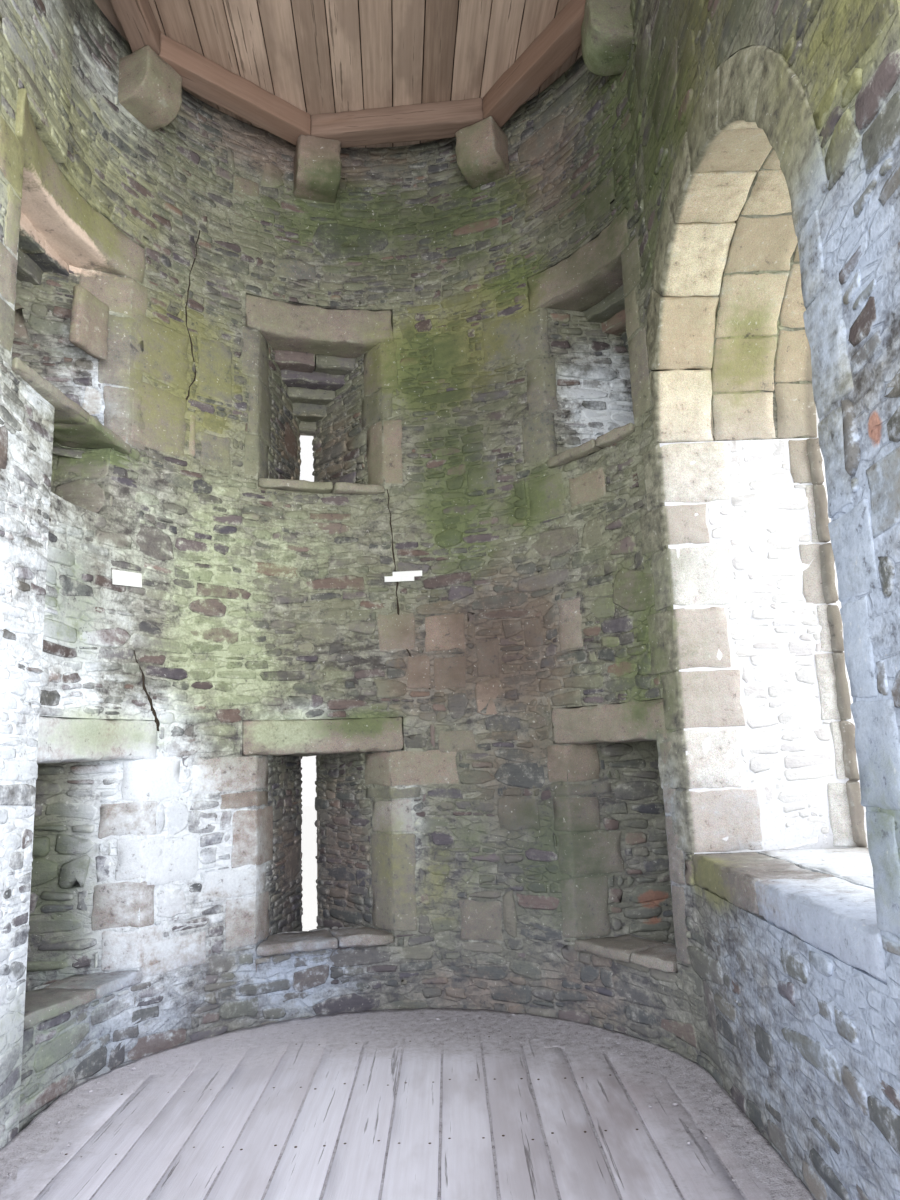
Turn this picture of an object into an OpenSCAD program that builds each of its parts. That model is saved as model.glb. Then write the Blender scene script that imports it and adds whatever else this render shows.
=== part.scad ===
// Round-ended tower chamber of a castle keep: one full storey of masonry with its loops, window,
// corbelled timber ceiling and board floor. The inner end is open, and the walls stop there in plain faces.
// Angles are plan bearings from the centre of the round end: 0 is the far end, positive to the right.

/* [Room] */
// Inner radius of the round end
room_r = 1660; // [1500:10:2000]
// Length of the straight flanks, from the centre of the round end to the open front
flank_len = 2250; // [2000:10:3000]
// How far the left flank face stands in from the round end's radius
left_step = 60; // [20:5:120]
// How far the right flank face stands in from the round end's radius
right_step = 50; // [20:5:120]
// Thickness of the walls
wall_t = 880; // [700:10:1200]

/* [Heights above the floor] */
// Inner sill of the lower loops
lower_sill = 480; // [300:10:600]
// Underside of the lower lintels
lower_head = 1640; // [1400:10:1800]
// Inner sill of the upper loops
upper_sill = 3500; // [3300:10:3700]
// Underside of the upper lintels
upper_head = 4600; // [4400:10:4800]
// Bed joint that splits the left wall between its lower and upper bays
left_bed = 2960; // [2700:10:3050]
// Top of the ceiling corbels
corbel_top = 6040; // [5500:10:6200]

/* [Loops] */
// Width of the wall face between the left flank and the lower left loop
lower_left_gap = 45; // [20:5:80]
// Bearing of the upper left loop
upper_left_angle = -85; // [-88:0.5:-80]
// Bearing of the centre loops
centre_angle = -16; // [-22:0.5:-8]
// Bearing of the right loops
right_angle = 55; // [48:0.5:57]
// Width of the lower left and centre loops at the room face
loop_w = 880; // [700:10:960]
// Width of the upper left loop at the room face
upper_left_w = 1170; // [1000:10:1250]
// Width of the right loops at the room face
right_loop_w = 760; // [600:10:800]
// Width of the slits in the outer face
slit_w = 130; // [80:5:180]
// Depth of the straight throat behind each slit
throat = 120; // [60:10:200]
// Fall of the lower sills from the room face to the slit
lower_fall = 240; // [100:10:300]
// Fall of the upper sills from the room face to the slit
upper_fall = 120; // [50:10:200]
// Fall of the stepped upper soffits from the lintel to the slit
soffit_fall = 400; // [200:10:500]
// Steps in each upper soffit
soffit_steps = 5; // [3:1:7]

/* [Dressed stones] */
// Height of the lower lintels
lower_lintel_h = 225; // [160:5:300]
// Height of the upper lintels
upper_lintel_h = 260; // [160:5:300]
// Depth of the lintels into the wall
lintel_d = 300; // [200:10:400]
// Length of each lintel's seat beyond the side of its opening
lintel_seat_len = 90; // [50:5:100]
// Thickness of the sill slabs
sill_t = 60; // [40:5:90]
// Depth of the sill slabs into the wall
sill_d = 300; // [200:10:400]
// How far the sill slabs stand out into the room
sill_nose = 30; // [0:5:60]
// Open joint between neighbouring slabs
open_joint = 8; // [4:1:15]

/* [Recess under the upper left loop] */
// Width of the recess
recess_w = 560; // [400:10:700]
// Distance of the recess's middle from the loop's bearing line, towards the far end
recess_dist = 180; // [100:10:250]
// Depth of the recess into the wall
recess_d = 380; // [200:10:500]
// Height of the recess floor above the bed joint
recess_lift = 60; // [20:10:150]

/* [Arched window] */
// Distance of the window's far side from the end of the flat right flank
window_in = 10; // [5:5:80]
// Half the width of the window, and the radius of its arch
window_r = 970; // [800:10:1000]
// Top of the window sill above the floor
window_sill_h = 1050; // [900:10:1200]
// Springing of the arch above the floor
window_spring = 3280; // [3000:10:3500]
// Depth of the arch ring on the wall face
arch_ring_w = 240; // [180:10:260]
// Depth of the arch ring into the wall
arch_ring_d = 320; // [200:10:400]
// Thickness of the window sill stones
window_sill_t = 150; // [100:10:200]
// Depth of the window sill stones into the wall
window_sill_d = 340; // [250:10:450]
// Share of the sill taken by its longer stone
window_sill_ratio = 0.53; // [0.4:0.01:0.6]

/* [Ceiling] */
// Bearings of the corbels on the round end, from left to right
corbel_angles = [-65, -17, 30];
// Bearings of the joints between the beams on those corbels
joint_angles = [-67, -19.5, 33];
// Distance of the beams' outer faces from the wall at those joints
joint_in = [60, 100, 60];
// Distance of the left flank beam's outer face from the flank face
left_beam_in = 140; // [60:10:200]
// Distance of the right flank beam's outer face from the flank face
right_beam_in = 60; // [20:10:200]
// Place of the rear left flank corbel, measured from the centre of the round end
left_corbel_y = -500; // [-700:10:-300]
// Place of the rear right flank corbel, measured from the centre of the round end
right_corbel_y = 330; // [200:10:380]
// Distance of the front corbels from the open front
front_corbel_in = 330; // [250:10:600]
// Width of the beams
beam_w = 170; // [120:5:220]
// Height of the beams
beam_h = 170; // [120:5:250]
// Width of the corbels
corbel_w = 310; // [260:10:360]
// Height of the corbels
corbel_h = 320; // [250:10:450]
// Radius of the corbels' lower front edge
corbel_round = 150; // [60:10:200]
// How far the corbels reach in past the beams' inner faces
corbel_lead = 20; // [0:5:60]
// How far the corbels are built into the wall
corbel_tail = 260; // [150:10:400]
// Thickness of the ceiling boards
ceiling_t = 50; // [30:5:80]
// How far the ceiling boards run onto the walls
board_seat_len = 45; // [20:5:120]
// Spacing of the ceiling boards
ceiling_pitch = 208; // [150:1:250]
// Gap between the ceiling boards
ceiling_gap = 7; // [3:1:15]
// Turn of the ceiling boards from the room's axis, to the left
ceiling_angle = 3.4; // [0:0.1:8]

/* [Floor] */
// Thickness of the floor boards
floor_t = 50; // [30:5:80]
// Spacing of the floor boards
floor_pitch = 220; // [180:5:260]
// Gap between the floor boards
floor_gap = 12; // [5:1:20]
// Sideways place of one board joint, from the centre line
floor_joint_x = 60; // [0:5:200]
// Height of the sleepers that carry the floor boards
sleeper_h = 150; // [100:10:250]
// Width of the sleepers
sleeper_w = 180; // [120:10:250]
// Spacing of the sleepers
sleeper_pitch = 650; // [500:10:900]
// Clearance round the ends of the boards and sleepers
edge_gap = 15; // [10:1:30]

/* [Hidden] */
$fn = 288;
over = 20;
rubble = [0.50, 0.50, 0.43];
granite = [0.66, 0.58, 0.49];
ceiling_oak = [0.55, 0.43, 0.33];
floor_oak = [0.66, 0.61, 0.57];
outer_r = room_r + wall_t;
far_out = 2 * outer_r;
// The front and the far end lie equally far from the origin
centre_y = (flank_len - outer_r) / 2;
floor_z = sleeper_h + floor_t;
beam_z = floor_z + corbel_top;
wall_top = beam_z + beam_h + ceiling_t;
left_bed_z = floor_z + left_bed;
soffit_d = wall_t - lintel_d;
left_face = room_r - left_step;
right_face = room_r - right_step;
// Loop against the left flank, and window against the end of the right one
lower_left_angle = -90 + asin((lower_left_gap + loop_w / 2) / room_r);
window_far = sqrt(room_r * room_r - right_face * right_face) - window_in;
window_near = window_far - 2 * window_r;
window_mid = window_far - window_r;
left_beam_x = left_face - left_beam_in;
right_beam_x = right_face - right_beam_in;

// A plan point at a bearing
function polar(r, a) = [r * sin(a), r * cos(a)];
// Radial distance of the corners of an opening of width w on the round wall
function face_of(w) = sqrt(room_r * room_r - w * w / 4);
// Unit vector to the right of the way from a to b
function right_of(a, b) = let (d = (b - a) / norm(b - a)) [d.y, -d.x];
// Corner of the beams' inner faces at corner i of their outer faces
function inner_corner(line, i) = let (
    before = right_of(line[max(i, 1) - 1], line[max(i, 1)]),
    after = right_of(line[min(i, len(line) - 2)], line[min(i, len(line) - 2) + 1])
) line[i] + beam_w * (before + after) / (1 + before * after);
// Corners of the beams' outer faces in plan, from the left front round to the right front
outer_line = concat(
    [[-left_beam_x, -flank_len], [-left_beam_x, left_corbel_y]],
    [for (i = [0 : 2]) polar(room_r - joint_in[i], joint_angles[i])],
    [[right_beam_x, right_corbel_y], [right_beam_x, -flank_len]]
);
inner_line = [for (i = [0 : len(outer_line) - 1]) inner_corner(outer_line, i)];

// Places children from the frame of the round end's centre
module placed() {
    translate([0, centre_y, 0]) children();
}

// Turns the +Y direction to a bearing
module at_bearing(a) {
    rotate([0, 0, -a]) children();
}

// Room outline in plan, shrunk by gap
module room_plan(gap = 0) {
    difference() {
        union() {
            circle(r = room_r - gap);
            translate([-left_face + gap, -flank_len])
                square([left_face + right_face - 2 * gap, flank_len]);
        }
        translate([right_face - gap, -flank_len])
            square([far_out, flank_len + room_r]);
        translate([-left_face + gap - far_out, -flank_len])
            square([far_out, flank_len]);
        translate([-far_out / 2, -flank_len - far_out])
            square([far_out, far_out]);
    }
}

// Outer outline of the tower in plan
module tower_plan() {
    circle(r = outer_r);
    translate([-outer_r, -flank_len]) square([2 * outer_r, flank_len]);
}

// Wall in plan
module wall_plan() {
    difference() {
        intersection() {
            tower_plan();
            translate([-far_out, -flank_len]) square([2 * far_out, flank_len + far_out]);
        }
        room_plan();
    }
}

// Plan area between two bearings, less than a half turn apart
module sector(from, to) {
    polygon([[0, 0], polar(far_out, from), polar(far_out, (from + to) / 2), polar(far_out, to)]);
}

// Opening in plan that narrows from the room face to the slit
module splay_plan(at, w) {
    at_bearing(at) polygon([
        [-w / 2, 0], [w / 2, 0], [w / 2, face_of(w)],
        [slit_w / 2, outer_r - throat], [slit_w / 2, outer_r + over],
        [-slit_w / 2, outer_r + over], [-slit_w / 2, outer_r - throat],
        [-w / 2, face_of(w)]
    ]);
}

// Masonry that fills an opening's splay between two heights
module infill(at, w, from, to) {
    translate([0, 0, from]) linear_extrude(to - from) intersection() {
        wall_plan();
        splay_plan(at, w);
    }
}

// Space under a falling sill: a seat for the slabs, then a slope to the slit
module under_sill(at, w, sill_z, fall) {
    seat = face_of(w) + sill_d;
    at_bearing(at) rotate([90, 0, 90]) translate([0, 0, -w]) linear_extrude(2 * w)
        polygon([
            [0, -over], [outer_r + over, -over], [outer_r + over, sill_z - fall], [outer_r - throat, sill_z - fall],
            [seat, sill_z], [seat, sill_z - sill_t], [0, sill_z - sill_t]
        ]);
}

// Masonry below an opening
module breast(at, w, from, sill_z, fall) {
    intersection() {
        infill(at, w, from, sill_z);
        under_sill(at, w, sill_z, fall);
    }
}

// Two sill slabs side by side, standing a little out into the room
module sill_slabs(at, w, sill_z) {
    at_bearing(at) translate([0, 0, sill_z - sill_t]) linear_extrude(sill_t) {
        difference() {
            intersection() {
                at_bearing(-at) splay_plan(at, w);
                translate([-w / 2, face_of(w) - sill_nose]) square([w, sill_d + sill_nose]);
            }
            translate([w * 0.08, 0]) square([open_joint, far_out]);
        }
    }
}

// A lintel that follows the round wall's face
module lintel(at, w, head_z, h) {
    translate([0, 0, head_z]) linear_extrude(h) difference() {
        at_bearing(at) translate([-w / 2 - lintel_seat_len, 0])
            square([w + 2 * lintel_seat_len, face_of(w) + lintel_d]);
        circle(r = room_r);
    }
}

// Masonry over a lower opening, cut back for its lintel
module spandrel(at, w, to) {
    difference() {
        infill(at, w, floor_z + lower_head, to);
        at_bearing(at) translate([-w, 0, floor_z + lower_head - over])
            cube([2 * w, face_of(w) + lintel_d, lower_lintel_h + over]);
    }
}

// Covering slabs behind an upper lintel, each lower than the last
module soffit_slabs(at, w) {
    start = face_of(w) + lintel_d;
    run = (outer_r - start) / soffit_steps;
    drop = soffit_fall / soffit_steps;
    head_z = floor_z + upper_head;
    intersection() {
        infill(at, w, head_z - soffit_fall - over, head_z);
        at_bearing(at) rotate([90, 0, 90]) translate([0, 0, -w]) linear_extrude(2 * w)
            polygon(concat(
                [[outer_r + over, head_z], [start, head_z]],
                [for (i = [0 : soffit_steps - 1], side = [0, 1])
                    [start + run * (i + side) + (i + side == soffit_steps ? over : 0), head_z - drop * (i + 1)]]
            ));
    }
}

// All six lintels, to cut their seats
module lintels() {
    lower_z = floor_z + lower_head;
    upper_z = floor_z + upper_head;
    lintel(lower_left_angle, loop_w, lower_z, lower_lintel_h);
    lintel(centre_angle, loop_w, lower_z, lower_lintel_h);
    lintel(right_angle, right_loop_w, lower_z, lower_lintel_h);
    lintel(upper_left_angle, upper_left_w, upper_z, upper_lintel_h);
    lintel(centre_angle, loop_w, upper_z, upper_lintel_h);
    lintel(right_angle, right_loop_w, upper_z, upper_lintel_h);
}

// Masonry over an upper opening, cut back for its lintel and for any corbel
module head(at, w) {
    difference() {
        infill(at, w, floor_z + upper_head, wall_top);
        at_bearing(at) translate([-w, 0, floor_z + upper_head - over])
            cube([2 * w, face_of(w) + lintel_d, upper_lintel_h + over]);
        corbels();
        board_seat();
    }
}

// A corbel with a rounded lower edge, its nose at distance nose and its tail in the wall at distance tail
module corbel(nose, tail) {
    rotate([90, 0, 90]) translate([0, beam_z - corbel_h, -corbel_w / 2]) linear_extrude(corbel_w) {
        translate([nose + corbel_round, 0]) square([tail - nose - corbel_round, corbel_h]);
        translate([nose, corbel_round]) square([corbel_round + over, corbel_h - corbel_round]);
        translate([nose + corbel_round, corbel_round]) circle(r = corbel_round);
    }
}

// Corbel number i on the round end
module ring_corbel(i) {
    at_bearing(corbel_angles[i]) corbel(room_r - joint_in[i] - beam_w - corbel_lead, room_r + corbel_tail);
}

// A corbel on a flank, side -1 for the left and 1 for the right
module flank_corbel(side, y) {
    face = side < 0 ? left_face : right_face;
    beam_x = side < 0 ? left_beam_x : right_beam_x;
    translate([0, y, 0]) at_bearing(90 * side)
        corbel(beam_x - beam_w - corbel_lead, face + corbel_tail);
}

// The rear and the front corbel of one flank
module flank_corbels(side, rear_y) {
    flank_corbel(side, rear_y);
    flank_corbel(side, -flank_len + front_corbel_in);
}

// All corbels, to cut their sockets
module corbels() {
    for (i = [0 : 2]) ring_corbel(i);
    flank_corbels(-1, left_corbel_y);
    flank_corbels(1, right_corbel_y);
}

// Arch of the window as an area in the flank's face, raised by extra all round
module arch_area(extra) {
    translate([window_mid, floor_z + window_spring]) circle(r = window_r + extra);
}

// Carries an area drawn in the flank's face through a depth of the wall
module through_flank(from, depth) {
    translate([from, 0, 0]) rotate([90, 0, 90]) linear_extrude(depth) children();
}

// Ring of arch stones on the room face of the window
module arch_ring() {
    through_flank(right_face, arch_ring_d) difference() {
        arch_area(arch_ring_w);
        arch_area(0);
        translate([-far_out, floor_z + window_spring - far_out]) square([2 * far_out, far_out]);
    }
}

// Seat of the ceiling boards on the wall heads
module board_seat() {
    translate([0, 0, beam_z + beam_h]) linear_extrude(ceiling_t + over)
        room_plan(-board_seat_len - edge_gap);
}

// A wall piece: masonry between two heights, cut for lintels, corbels, the arch ring and the ceiling boards
module wall_piece(from, to) {
    difference() {
        translate([0, 0, from]) linear_extrude(to - from) children();
        lintels();
        corbels();
        arch_ring();
        board_seat();
    }
}

// Wall in plan on the left of a bearing, down to the open front
module left_flank_plan(at, w) {
    difference() {
        intersection() {
            wall_plan();
            polygon([[0, 0], polar(far_out, at), [-far_out, 0], [-far_out, -far_out], [0, -far_out]]);
        }
        splay_plan(at, w);
    }
}

// Wall in plan between two splayed openings
module pier_plan(from, from_w, to, to_w) {
    difference() {
        intersection() {
            wall_plan();
            sector(from, to);
        }
        splay_plan(from, from_w);
        splay_plan(to, to_w);
    }
}

// Right flank in plan between two distances along the room
module right_flank_plan(from, to) {
    intersection() {
        wall_plan();
        translate([0, from]) square([far_out, to - from]);
    }
}

// Wall in plan between the right loops and the window
module right_pier_plan() {
    difference() {
        intersection() {
            wall_plan();
            polygon([[0, window_far], [0, 0], polar(far_out, right_angle), [far_out, window_far]]);
            translate([0, window_far]) square([far_out, far_out]);
        }
        splay_plan(right_angle, right_loop_w);
    }
}

module left_flank_lower() color(rubble) placed()
    wall_piece(0, left_bed_z) left_flank_plan(lower_left_angle, loop_w);

module left_flank_upper() color(rubble) placed()
    wall_piece(left_bed_z, wall_top) left_flank_plan(upper_left_angle, upper_left_w);

module left_pier_lower() color(rubble) placed()
    wall_piece(0, left_bed_z) pier_plan(lower_left_angle, loop_w, centre_angle, loop_w);

module left_pier_upper() color(rubble) placed() difference() {
    wall_piece(left_bed_z, wall_top) pier_plan(upper_left_angle, upper_left_w, centre_angle, loop_w);
    recess();
}

module left_lower_breast() color(rubble) placed()
    breast(lower_left_angle, loop_w, 0, floor_z + lower_sill, lower_fall);

module left_lower_spandrel() color(rubble) placed()
    spandrel(lower_left_angle, loop_w, left_bed_z);

module left_upper_breast() color(rubble) placed() difference() {
    breast(upper_left_angle, upper_left_w, left_bed_z, floor_z + upper_sill, upper_fall);
    recess();
}

// Open recess under the sill slabs of the upper left loop
module recess() {
    floor_at = left_bed_z + recess_lift;
    at_bearing(upper_left_angle)
        translate([recess_dist - recess_w / 2, 0, floor_at])
        cube([recess_w, face_of(upper_left_w) + recess_d, floor_z + upper_sill - sill_t - floor_at]);
}

module left_upper_head() color(rubble) placed()
    head(upper_left_angle, upper_left_w);

module centre_lower_breast() color(rubble) placed()
    breast(centre_angle, loop_w, 0, floor_z + lower_sill, lower_fall);

module centre_spandrel() color(rubble) placed() intersection() {
    spandrel(centre_angle, loop_w, floor_z + upper_sill);
    under_sill(centre_angle, loop_w, floor_z + upper_sill, upper_fall);
}

module centre_upper_head() color(rubble) placed()
    head(centre_angle, loop_w);

module centre_pier() color(rubble) placed()
    wall_piece(0, wall_top) pier_plan(centre_angle, loop_w, right_angle, right_loop_w);

module right_lower_breast() color(rubble) placed()
    breast(right_angle, right_loop_w, 0, floor_z + lower_sill, lower_fall);

module right_spandrel() color(rubble) placed() intersection() {
    spandrel(right_angle, right_loop_w, floor_z + upper_sill);
    under_sill(right_angle, right_loop_w, floor_z + upper_sill, upper_fall);
}

module right_upper_head() color(rubble) placed()
    head(right_angle, right_loop_w);

module right_pier() color(rubble) placed()
    wall_piece(0, wall_top) right_pier_plan();

module window_breast() color(rubble) placed() difference() {
    linear_extrude(floor_z + window_sill_h) right_flank_plan(window_near, window_far);
    window_sill_seat();
}

// Seat of the window sill stones
module window_sill_seat() {
    translate([0, window_near, floor_z + window_sill_h - window_sill_t])
        cube([right_face + window_sill_d, window_far - window_near, far_out]);
}

module window_head() color(rubble) placed() difference() {
    wall_piece(floor_z + window_spring, wall_top) right_flank_plan(window_near, window_far);
    through_flank(0, far_out) arch_area(0);
}

module right_flank() color(rubble) placed()
    wall_piece(0, wall_top) right_flank_plan(-flank_len, window_near);

module left_lower_lintel() color(granite) placed()
    lintel(lower_left_angle, loop_w, floor_z + lower_head, lower_lintel_h);

module centre_lower_lintel() color(granite) placed()
    lintel(centre_angle, loop_w, floor_z + lower_head, lower_lintel_h);

module right_lower_lintel() color(granite) placed()
    lintel(right_angle, right_loop_w, floor_z + lower_head, lower_lintel_h);

module left_upper_lintel() color(granite) placed()
    lintel(upper_left_angle, upper_left_w, floor_z + upper_head, upper_lintel_h);

module centre_upper_lintel() color(granite) placed()
    lintel(centre_angle, loop_w, floor_z + upper_head, upper_lintel_h);

module right_upper_lintel() color(granite) placed()
    lintel(right_angle, right_loop_w, floor_z + upper_head, upper_lintel_h);

module lower_sill_slabs() color(granite) placed() {
    sill_slabs(lower_left_angle, loop_w, floor_z + lower_sill);
    sill_slabs(centre_angle, loop_w, floor_z + lower_sill);
    sill_slabs(right_angle, right_loop_w, floor_z + lower_sill);
}

module upper_sill_slabs() color(granite) placed() {
    sill_slabs(upper_left_angle, upper_left_w, floor_z + upper_sill);
    sill_slabs(centre_angle, loop_w, floor_z + upper_sill);
    sill_slabs(right_angle, right_loop_w, floor_z + upper_sill);
}

module upper_soffit_slabs() color(rubble) placed() {
    soffit_slabs(upper_left_angle, upper_left_w);
    soffit_slabs(centre_angle, loop_w);
    soffit_slabs(right_angle, right_loop_w);
}

module window_arch_ring() color(granite) placed() arch_ring();

module window_sill() color(granite) placed() {
    span = window_far - window_near;
    near_len = span * window_sill_ratio;
    translate([right_face, 0, floor_z + window_sill_h - window_sill_t]) {
        translate([0, window_near, 0]) cube([window_sill_d, near_len - open_joint, window_sill_t]);
        translate([0, window_near + near_len, 0]) cube([window_sill_d, span - near_len, window_sill_t]);
    }
}

module corbel_left() color(granite) placed() ring_corbel(0);
module corbel_far_left() color(granite) placed() ring_corbel(1);
module corbel_far_right() color(granite) placed() ring_corbel(2);
module left_flank_corbels() color(granite) placed() flank_corbels(-1, left_corbel_y);
module right_flank_corbels() color(granite) placed() flank_corbels(1, right_corbel_y);

// The beam between corners i and i + 1 of the beam line
module beam(i) {
    color(ceiling_oak) placed() translate([0, 0, beam_z]) linear_extrude(beam_h)
        polygon([outer_line[i], outer_line[i + 1], inner_line[i + 1], inner_line[i]]);
}

module beam_left_flank() beam(0);
module beam_left_short() beam(1);
module beam_left_diagonal() beam(2);
module beam_far() beam(3);
module beam_right_diagonal() beam(4);
module beam_right_flank() beam(5);

// Beam across the open front, between the flank beams
module beam_front() color(ceiling_oak) placed()
    translate([-left_beam_x + beam_w, -flank_len, beam_z])
    cube([left_beam_x + right_beam_x - 2 * beam_w, beam_w, beam_h]);

// Strips of width pitch - gap that cover the room, with a joint at x = joint
module board_strips(pitch, gap, joint, thickness) {
    count = ceil(far_out / pitch);
    for (i = [-count : count])
        translate([joint + gap / 2 + i * pitch, -far_out, 0])
            cube([pitch - gap, 2 * far_out, thickness]);
}

module ceiling_boards() color(ceiling_oak) placed()
    translate([0, 0, beam_z + beam_h]) intersection() {
        linear_extrude(ceiling_t) room_plan(-board_seat_len);
        rotate([0, 0, ceiling_angle]) board_strips(ceiling_pitch, ceiling_gap, 0, ceiling_t);
    }

module floor_boards() color(floor_oak) placed()
    translate([0, 0, sleeper_h]) intersection() {
        linear_extrude(floor_t) room_plan(edge_gap);
        board_strips(floor_pitch, floor_gap, floor_joint_x, floor_t);
    }

module floor_sleepers() color(floor_oak) placed()
    linear_extrude(sleeper_h) intersection() {
        room_plan(edge_gap);
        for (y = [-flank_len : sleeper_pitch : room_r - sleeper_w])
            translate([-far_out / 2, y]) square([far_out, sleeper_w]);
    }

left_flank_lower();
left_flank_upper();
left_pier_lower();
left_pier_upper();
left_lower_breast();
left_lower_spandrel();
left_upper_breast();
left_upper_head();
centre_lower_breast();
centre_spandrel();
centre_upper_head();
centre_pier();
right_lower_breast();
right_spandrel();
right_upper_head();
right_pier();
window_breast();
window_head();
right_flank();
left_lower_lintel();
centre_lower_lintel();
right_lower_lintel();
left_upper_lintel();
centre_upper_lintel();
right_upper_lintel();
lower_sill_slabs();
upper_sill_slabs();
upper_soffit_slabs();
window_arch_ring();
window_sill();
corbel_left();
corbel_far_left();
corbel_far_right();
left_flank_corbels();
right_flank_corbels();
beam_left_flank();
beam_left_short();
beam_left_diagonal();
beam_far();
beam_right_diagonal();
beam_right_flank();
beam_front();
ceiling_boards();
floor_boards();
floor_sleepers();
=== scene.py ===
import math
from collections import namedtuple

import bpy
import numpy as np
from mathutils import Matrix, Vector


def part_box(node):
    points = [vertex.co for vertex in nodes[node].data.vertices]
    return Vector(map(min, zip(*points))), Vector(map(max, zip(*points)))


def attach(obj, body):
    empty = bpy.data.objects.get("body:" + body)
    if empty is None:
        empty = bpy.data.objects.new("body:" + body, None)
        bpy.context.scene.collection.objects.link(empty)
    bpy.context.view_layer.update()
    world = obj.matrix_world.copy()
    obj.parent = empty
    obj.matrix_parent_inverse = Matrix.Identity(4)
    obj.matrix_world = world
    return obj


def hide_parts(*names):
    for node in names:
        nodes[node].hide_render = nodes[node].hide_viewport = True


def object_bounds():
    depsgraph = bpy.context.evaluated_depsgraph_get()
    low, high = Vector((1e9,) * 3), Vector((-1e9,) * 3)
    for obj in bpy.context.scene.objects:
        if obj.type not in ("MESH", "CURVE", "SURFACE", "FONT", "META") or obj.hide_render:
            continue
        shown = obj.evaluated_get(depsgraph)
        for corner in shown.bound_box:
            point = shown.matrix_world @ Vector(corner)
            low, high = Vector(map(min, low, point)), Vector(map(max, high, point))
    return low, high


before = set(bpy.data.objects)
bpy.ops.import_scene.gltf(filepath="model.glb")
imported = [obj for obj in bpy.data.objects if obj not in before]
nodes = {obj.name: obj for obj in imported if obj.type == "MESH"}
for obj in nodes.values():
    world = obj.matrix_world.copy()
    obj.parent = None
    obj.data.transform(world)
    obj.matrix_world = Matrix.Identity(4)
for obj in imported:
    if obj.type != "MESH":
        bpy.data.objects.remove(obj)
cad_low, cad_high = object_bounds()

# Room, in metres: plan places are measured from the centre of the round end
OUTER_R = cad_high.x
MID_Y = cad_high.y - OUTER_R
FRONT = cad_low.y - MID_Y
TOP = cad_high.z
WALL_T = 0.88
ROOM_R = OUTER_R - WALL_T
LEFT_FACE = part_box("left_flank_lower")[1].x
RIGHT_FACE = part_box("window_sill")[0].x
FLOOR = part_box("floor_boards")[1].z
SLEEPER_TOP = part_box("floor_sleepers")[1].z
BEAM_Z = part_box("beam_far")[0].z
BEAM_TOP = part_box("beam_far")[1].z
QUARTER = math.pi / 2
KINK = math.acos(-RIGHT_FACE / ROOM_R) - QUARTER

# Window in the right flank
WINDOW_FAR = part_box("window_sill")[1].y - MID_Y
WINDOW_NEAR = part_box("window_sill")[0].y - MID_Y
WINDOW_R = (WINDOW_FAR - WINDOW_NEAR) / 2
WINDOW_MID = WINDOW_FAR - WINDOW_R
WINDOW_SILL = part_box("window_sill")[1].z
SILL_STONE_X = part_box("window_sill")[1].x
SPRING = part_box("window_arch_ring")[0].z
RING_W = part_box("window_arch_ring")[1].z - SPRING - WINDOW_R
RING_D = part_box("window_arch_ring")[1].x - RIGHT_FACE
NIB_D = 0.075
NIB_OUT = 0.03

# Loops: bearing in degrees, width at the room face, sill, head, falls of the sill and of the soffit
SLIT_W = 0.13
THROAT = 0.12
LINTEL_D = 0.30
LINTEL_SEAT = 0.09
SILL_D = 0.30
SILL_NOSE = 0.03
SILL_T = 0.06
SOFFIT_STEPS = 5
UPPER_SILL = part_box("upper_sill_slabs")[1].z
Loop = namedtuple("Loop", "name angle width sill head fall drop lintel_h")
LOWER = {
    "sill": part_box("lower_sill_slabs")[1].z, "head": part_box("centre_lower_lintel")[0].z,
    "fall": 0.24, "drop": 0.0, "lintel_h": 0.225,
}
UPPER = {
    "sill": UPPER_SILL, "head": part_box("centre_upper_lintel")[0].z,
    "fall": 0.12, "drop": 0.40, "lintel_h": 0.26,
}
LOWER_LEFT_ANGLE = -90 + math.degrees(math.asin(0.485 / ROOM_R))
LOOPS = [
    Loop("lower_left", LOWER_LEFT_ANGLE, 0.88, **LOWER),
    Loop("lower_centre", -16, 0.88, **LOWER),
    Loop("lower_right", 55, 0.76, **LOWER),
    Loop("upper_left", -85, 1.17, **UPPER),
    Loop("upper_centre", -16, 0.88, **UPPER),
    Loop("upper_right", 55, 0.76, **UPPER),
]
LOOP = {one.name: one for one in LOOPS}

# Recess under the upper left loop, in the frame of that loop's bearing
RECESS_LEFT, RECESS_RIGHT = -0.10, 0.46
RECESS_BACK = math.sqrt(ROOM_R**2 - LOOP["upper_left"].width ** 2 / 4) + 0.38
RECESS_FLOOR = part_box("left_upper_breast")[0].z + 0.06
RECESS_TOP = UPPER_SILL - SILL_T

# Ceiling: the beams stand in from the wall and lie on corbels
BEAM_W = 0.17
LEFT_BEAM_X = -LEFT_FACE - 0.14
RIGHT_BEAM_X = RIGHT_FACE - 0.06
LEFT_TURN_Y = -0.50
RIGHT_TURN_Y = 0.33
CORBEL_W = 0.31
CORBEL_ROUND = 0.15
CORBEL_LEAD = 0.02
CORBEL_TAIL = 0.06
CORBEL_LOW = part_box("corbel_far_left")[0].z
FRONT_CORBEL_Y = FRONT + 0.33
# Bearings of the beams' joints, and how far the beams stand in there
JOINTS = [(-67, 0.06), (-19.5, 0.10), (33, 0.06)]
# Bearing, how far the beam stands in, tone
RING_CORBELS = {
    "corbel_left": (-65, 0.06, 0.32),
    "corbel_far_left": (-17, 0.10, 0.40),
    "corbel_far_right": (30, 0.06, 0.44),
}
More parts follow.
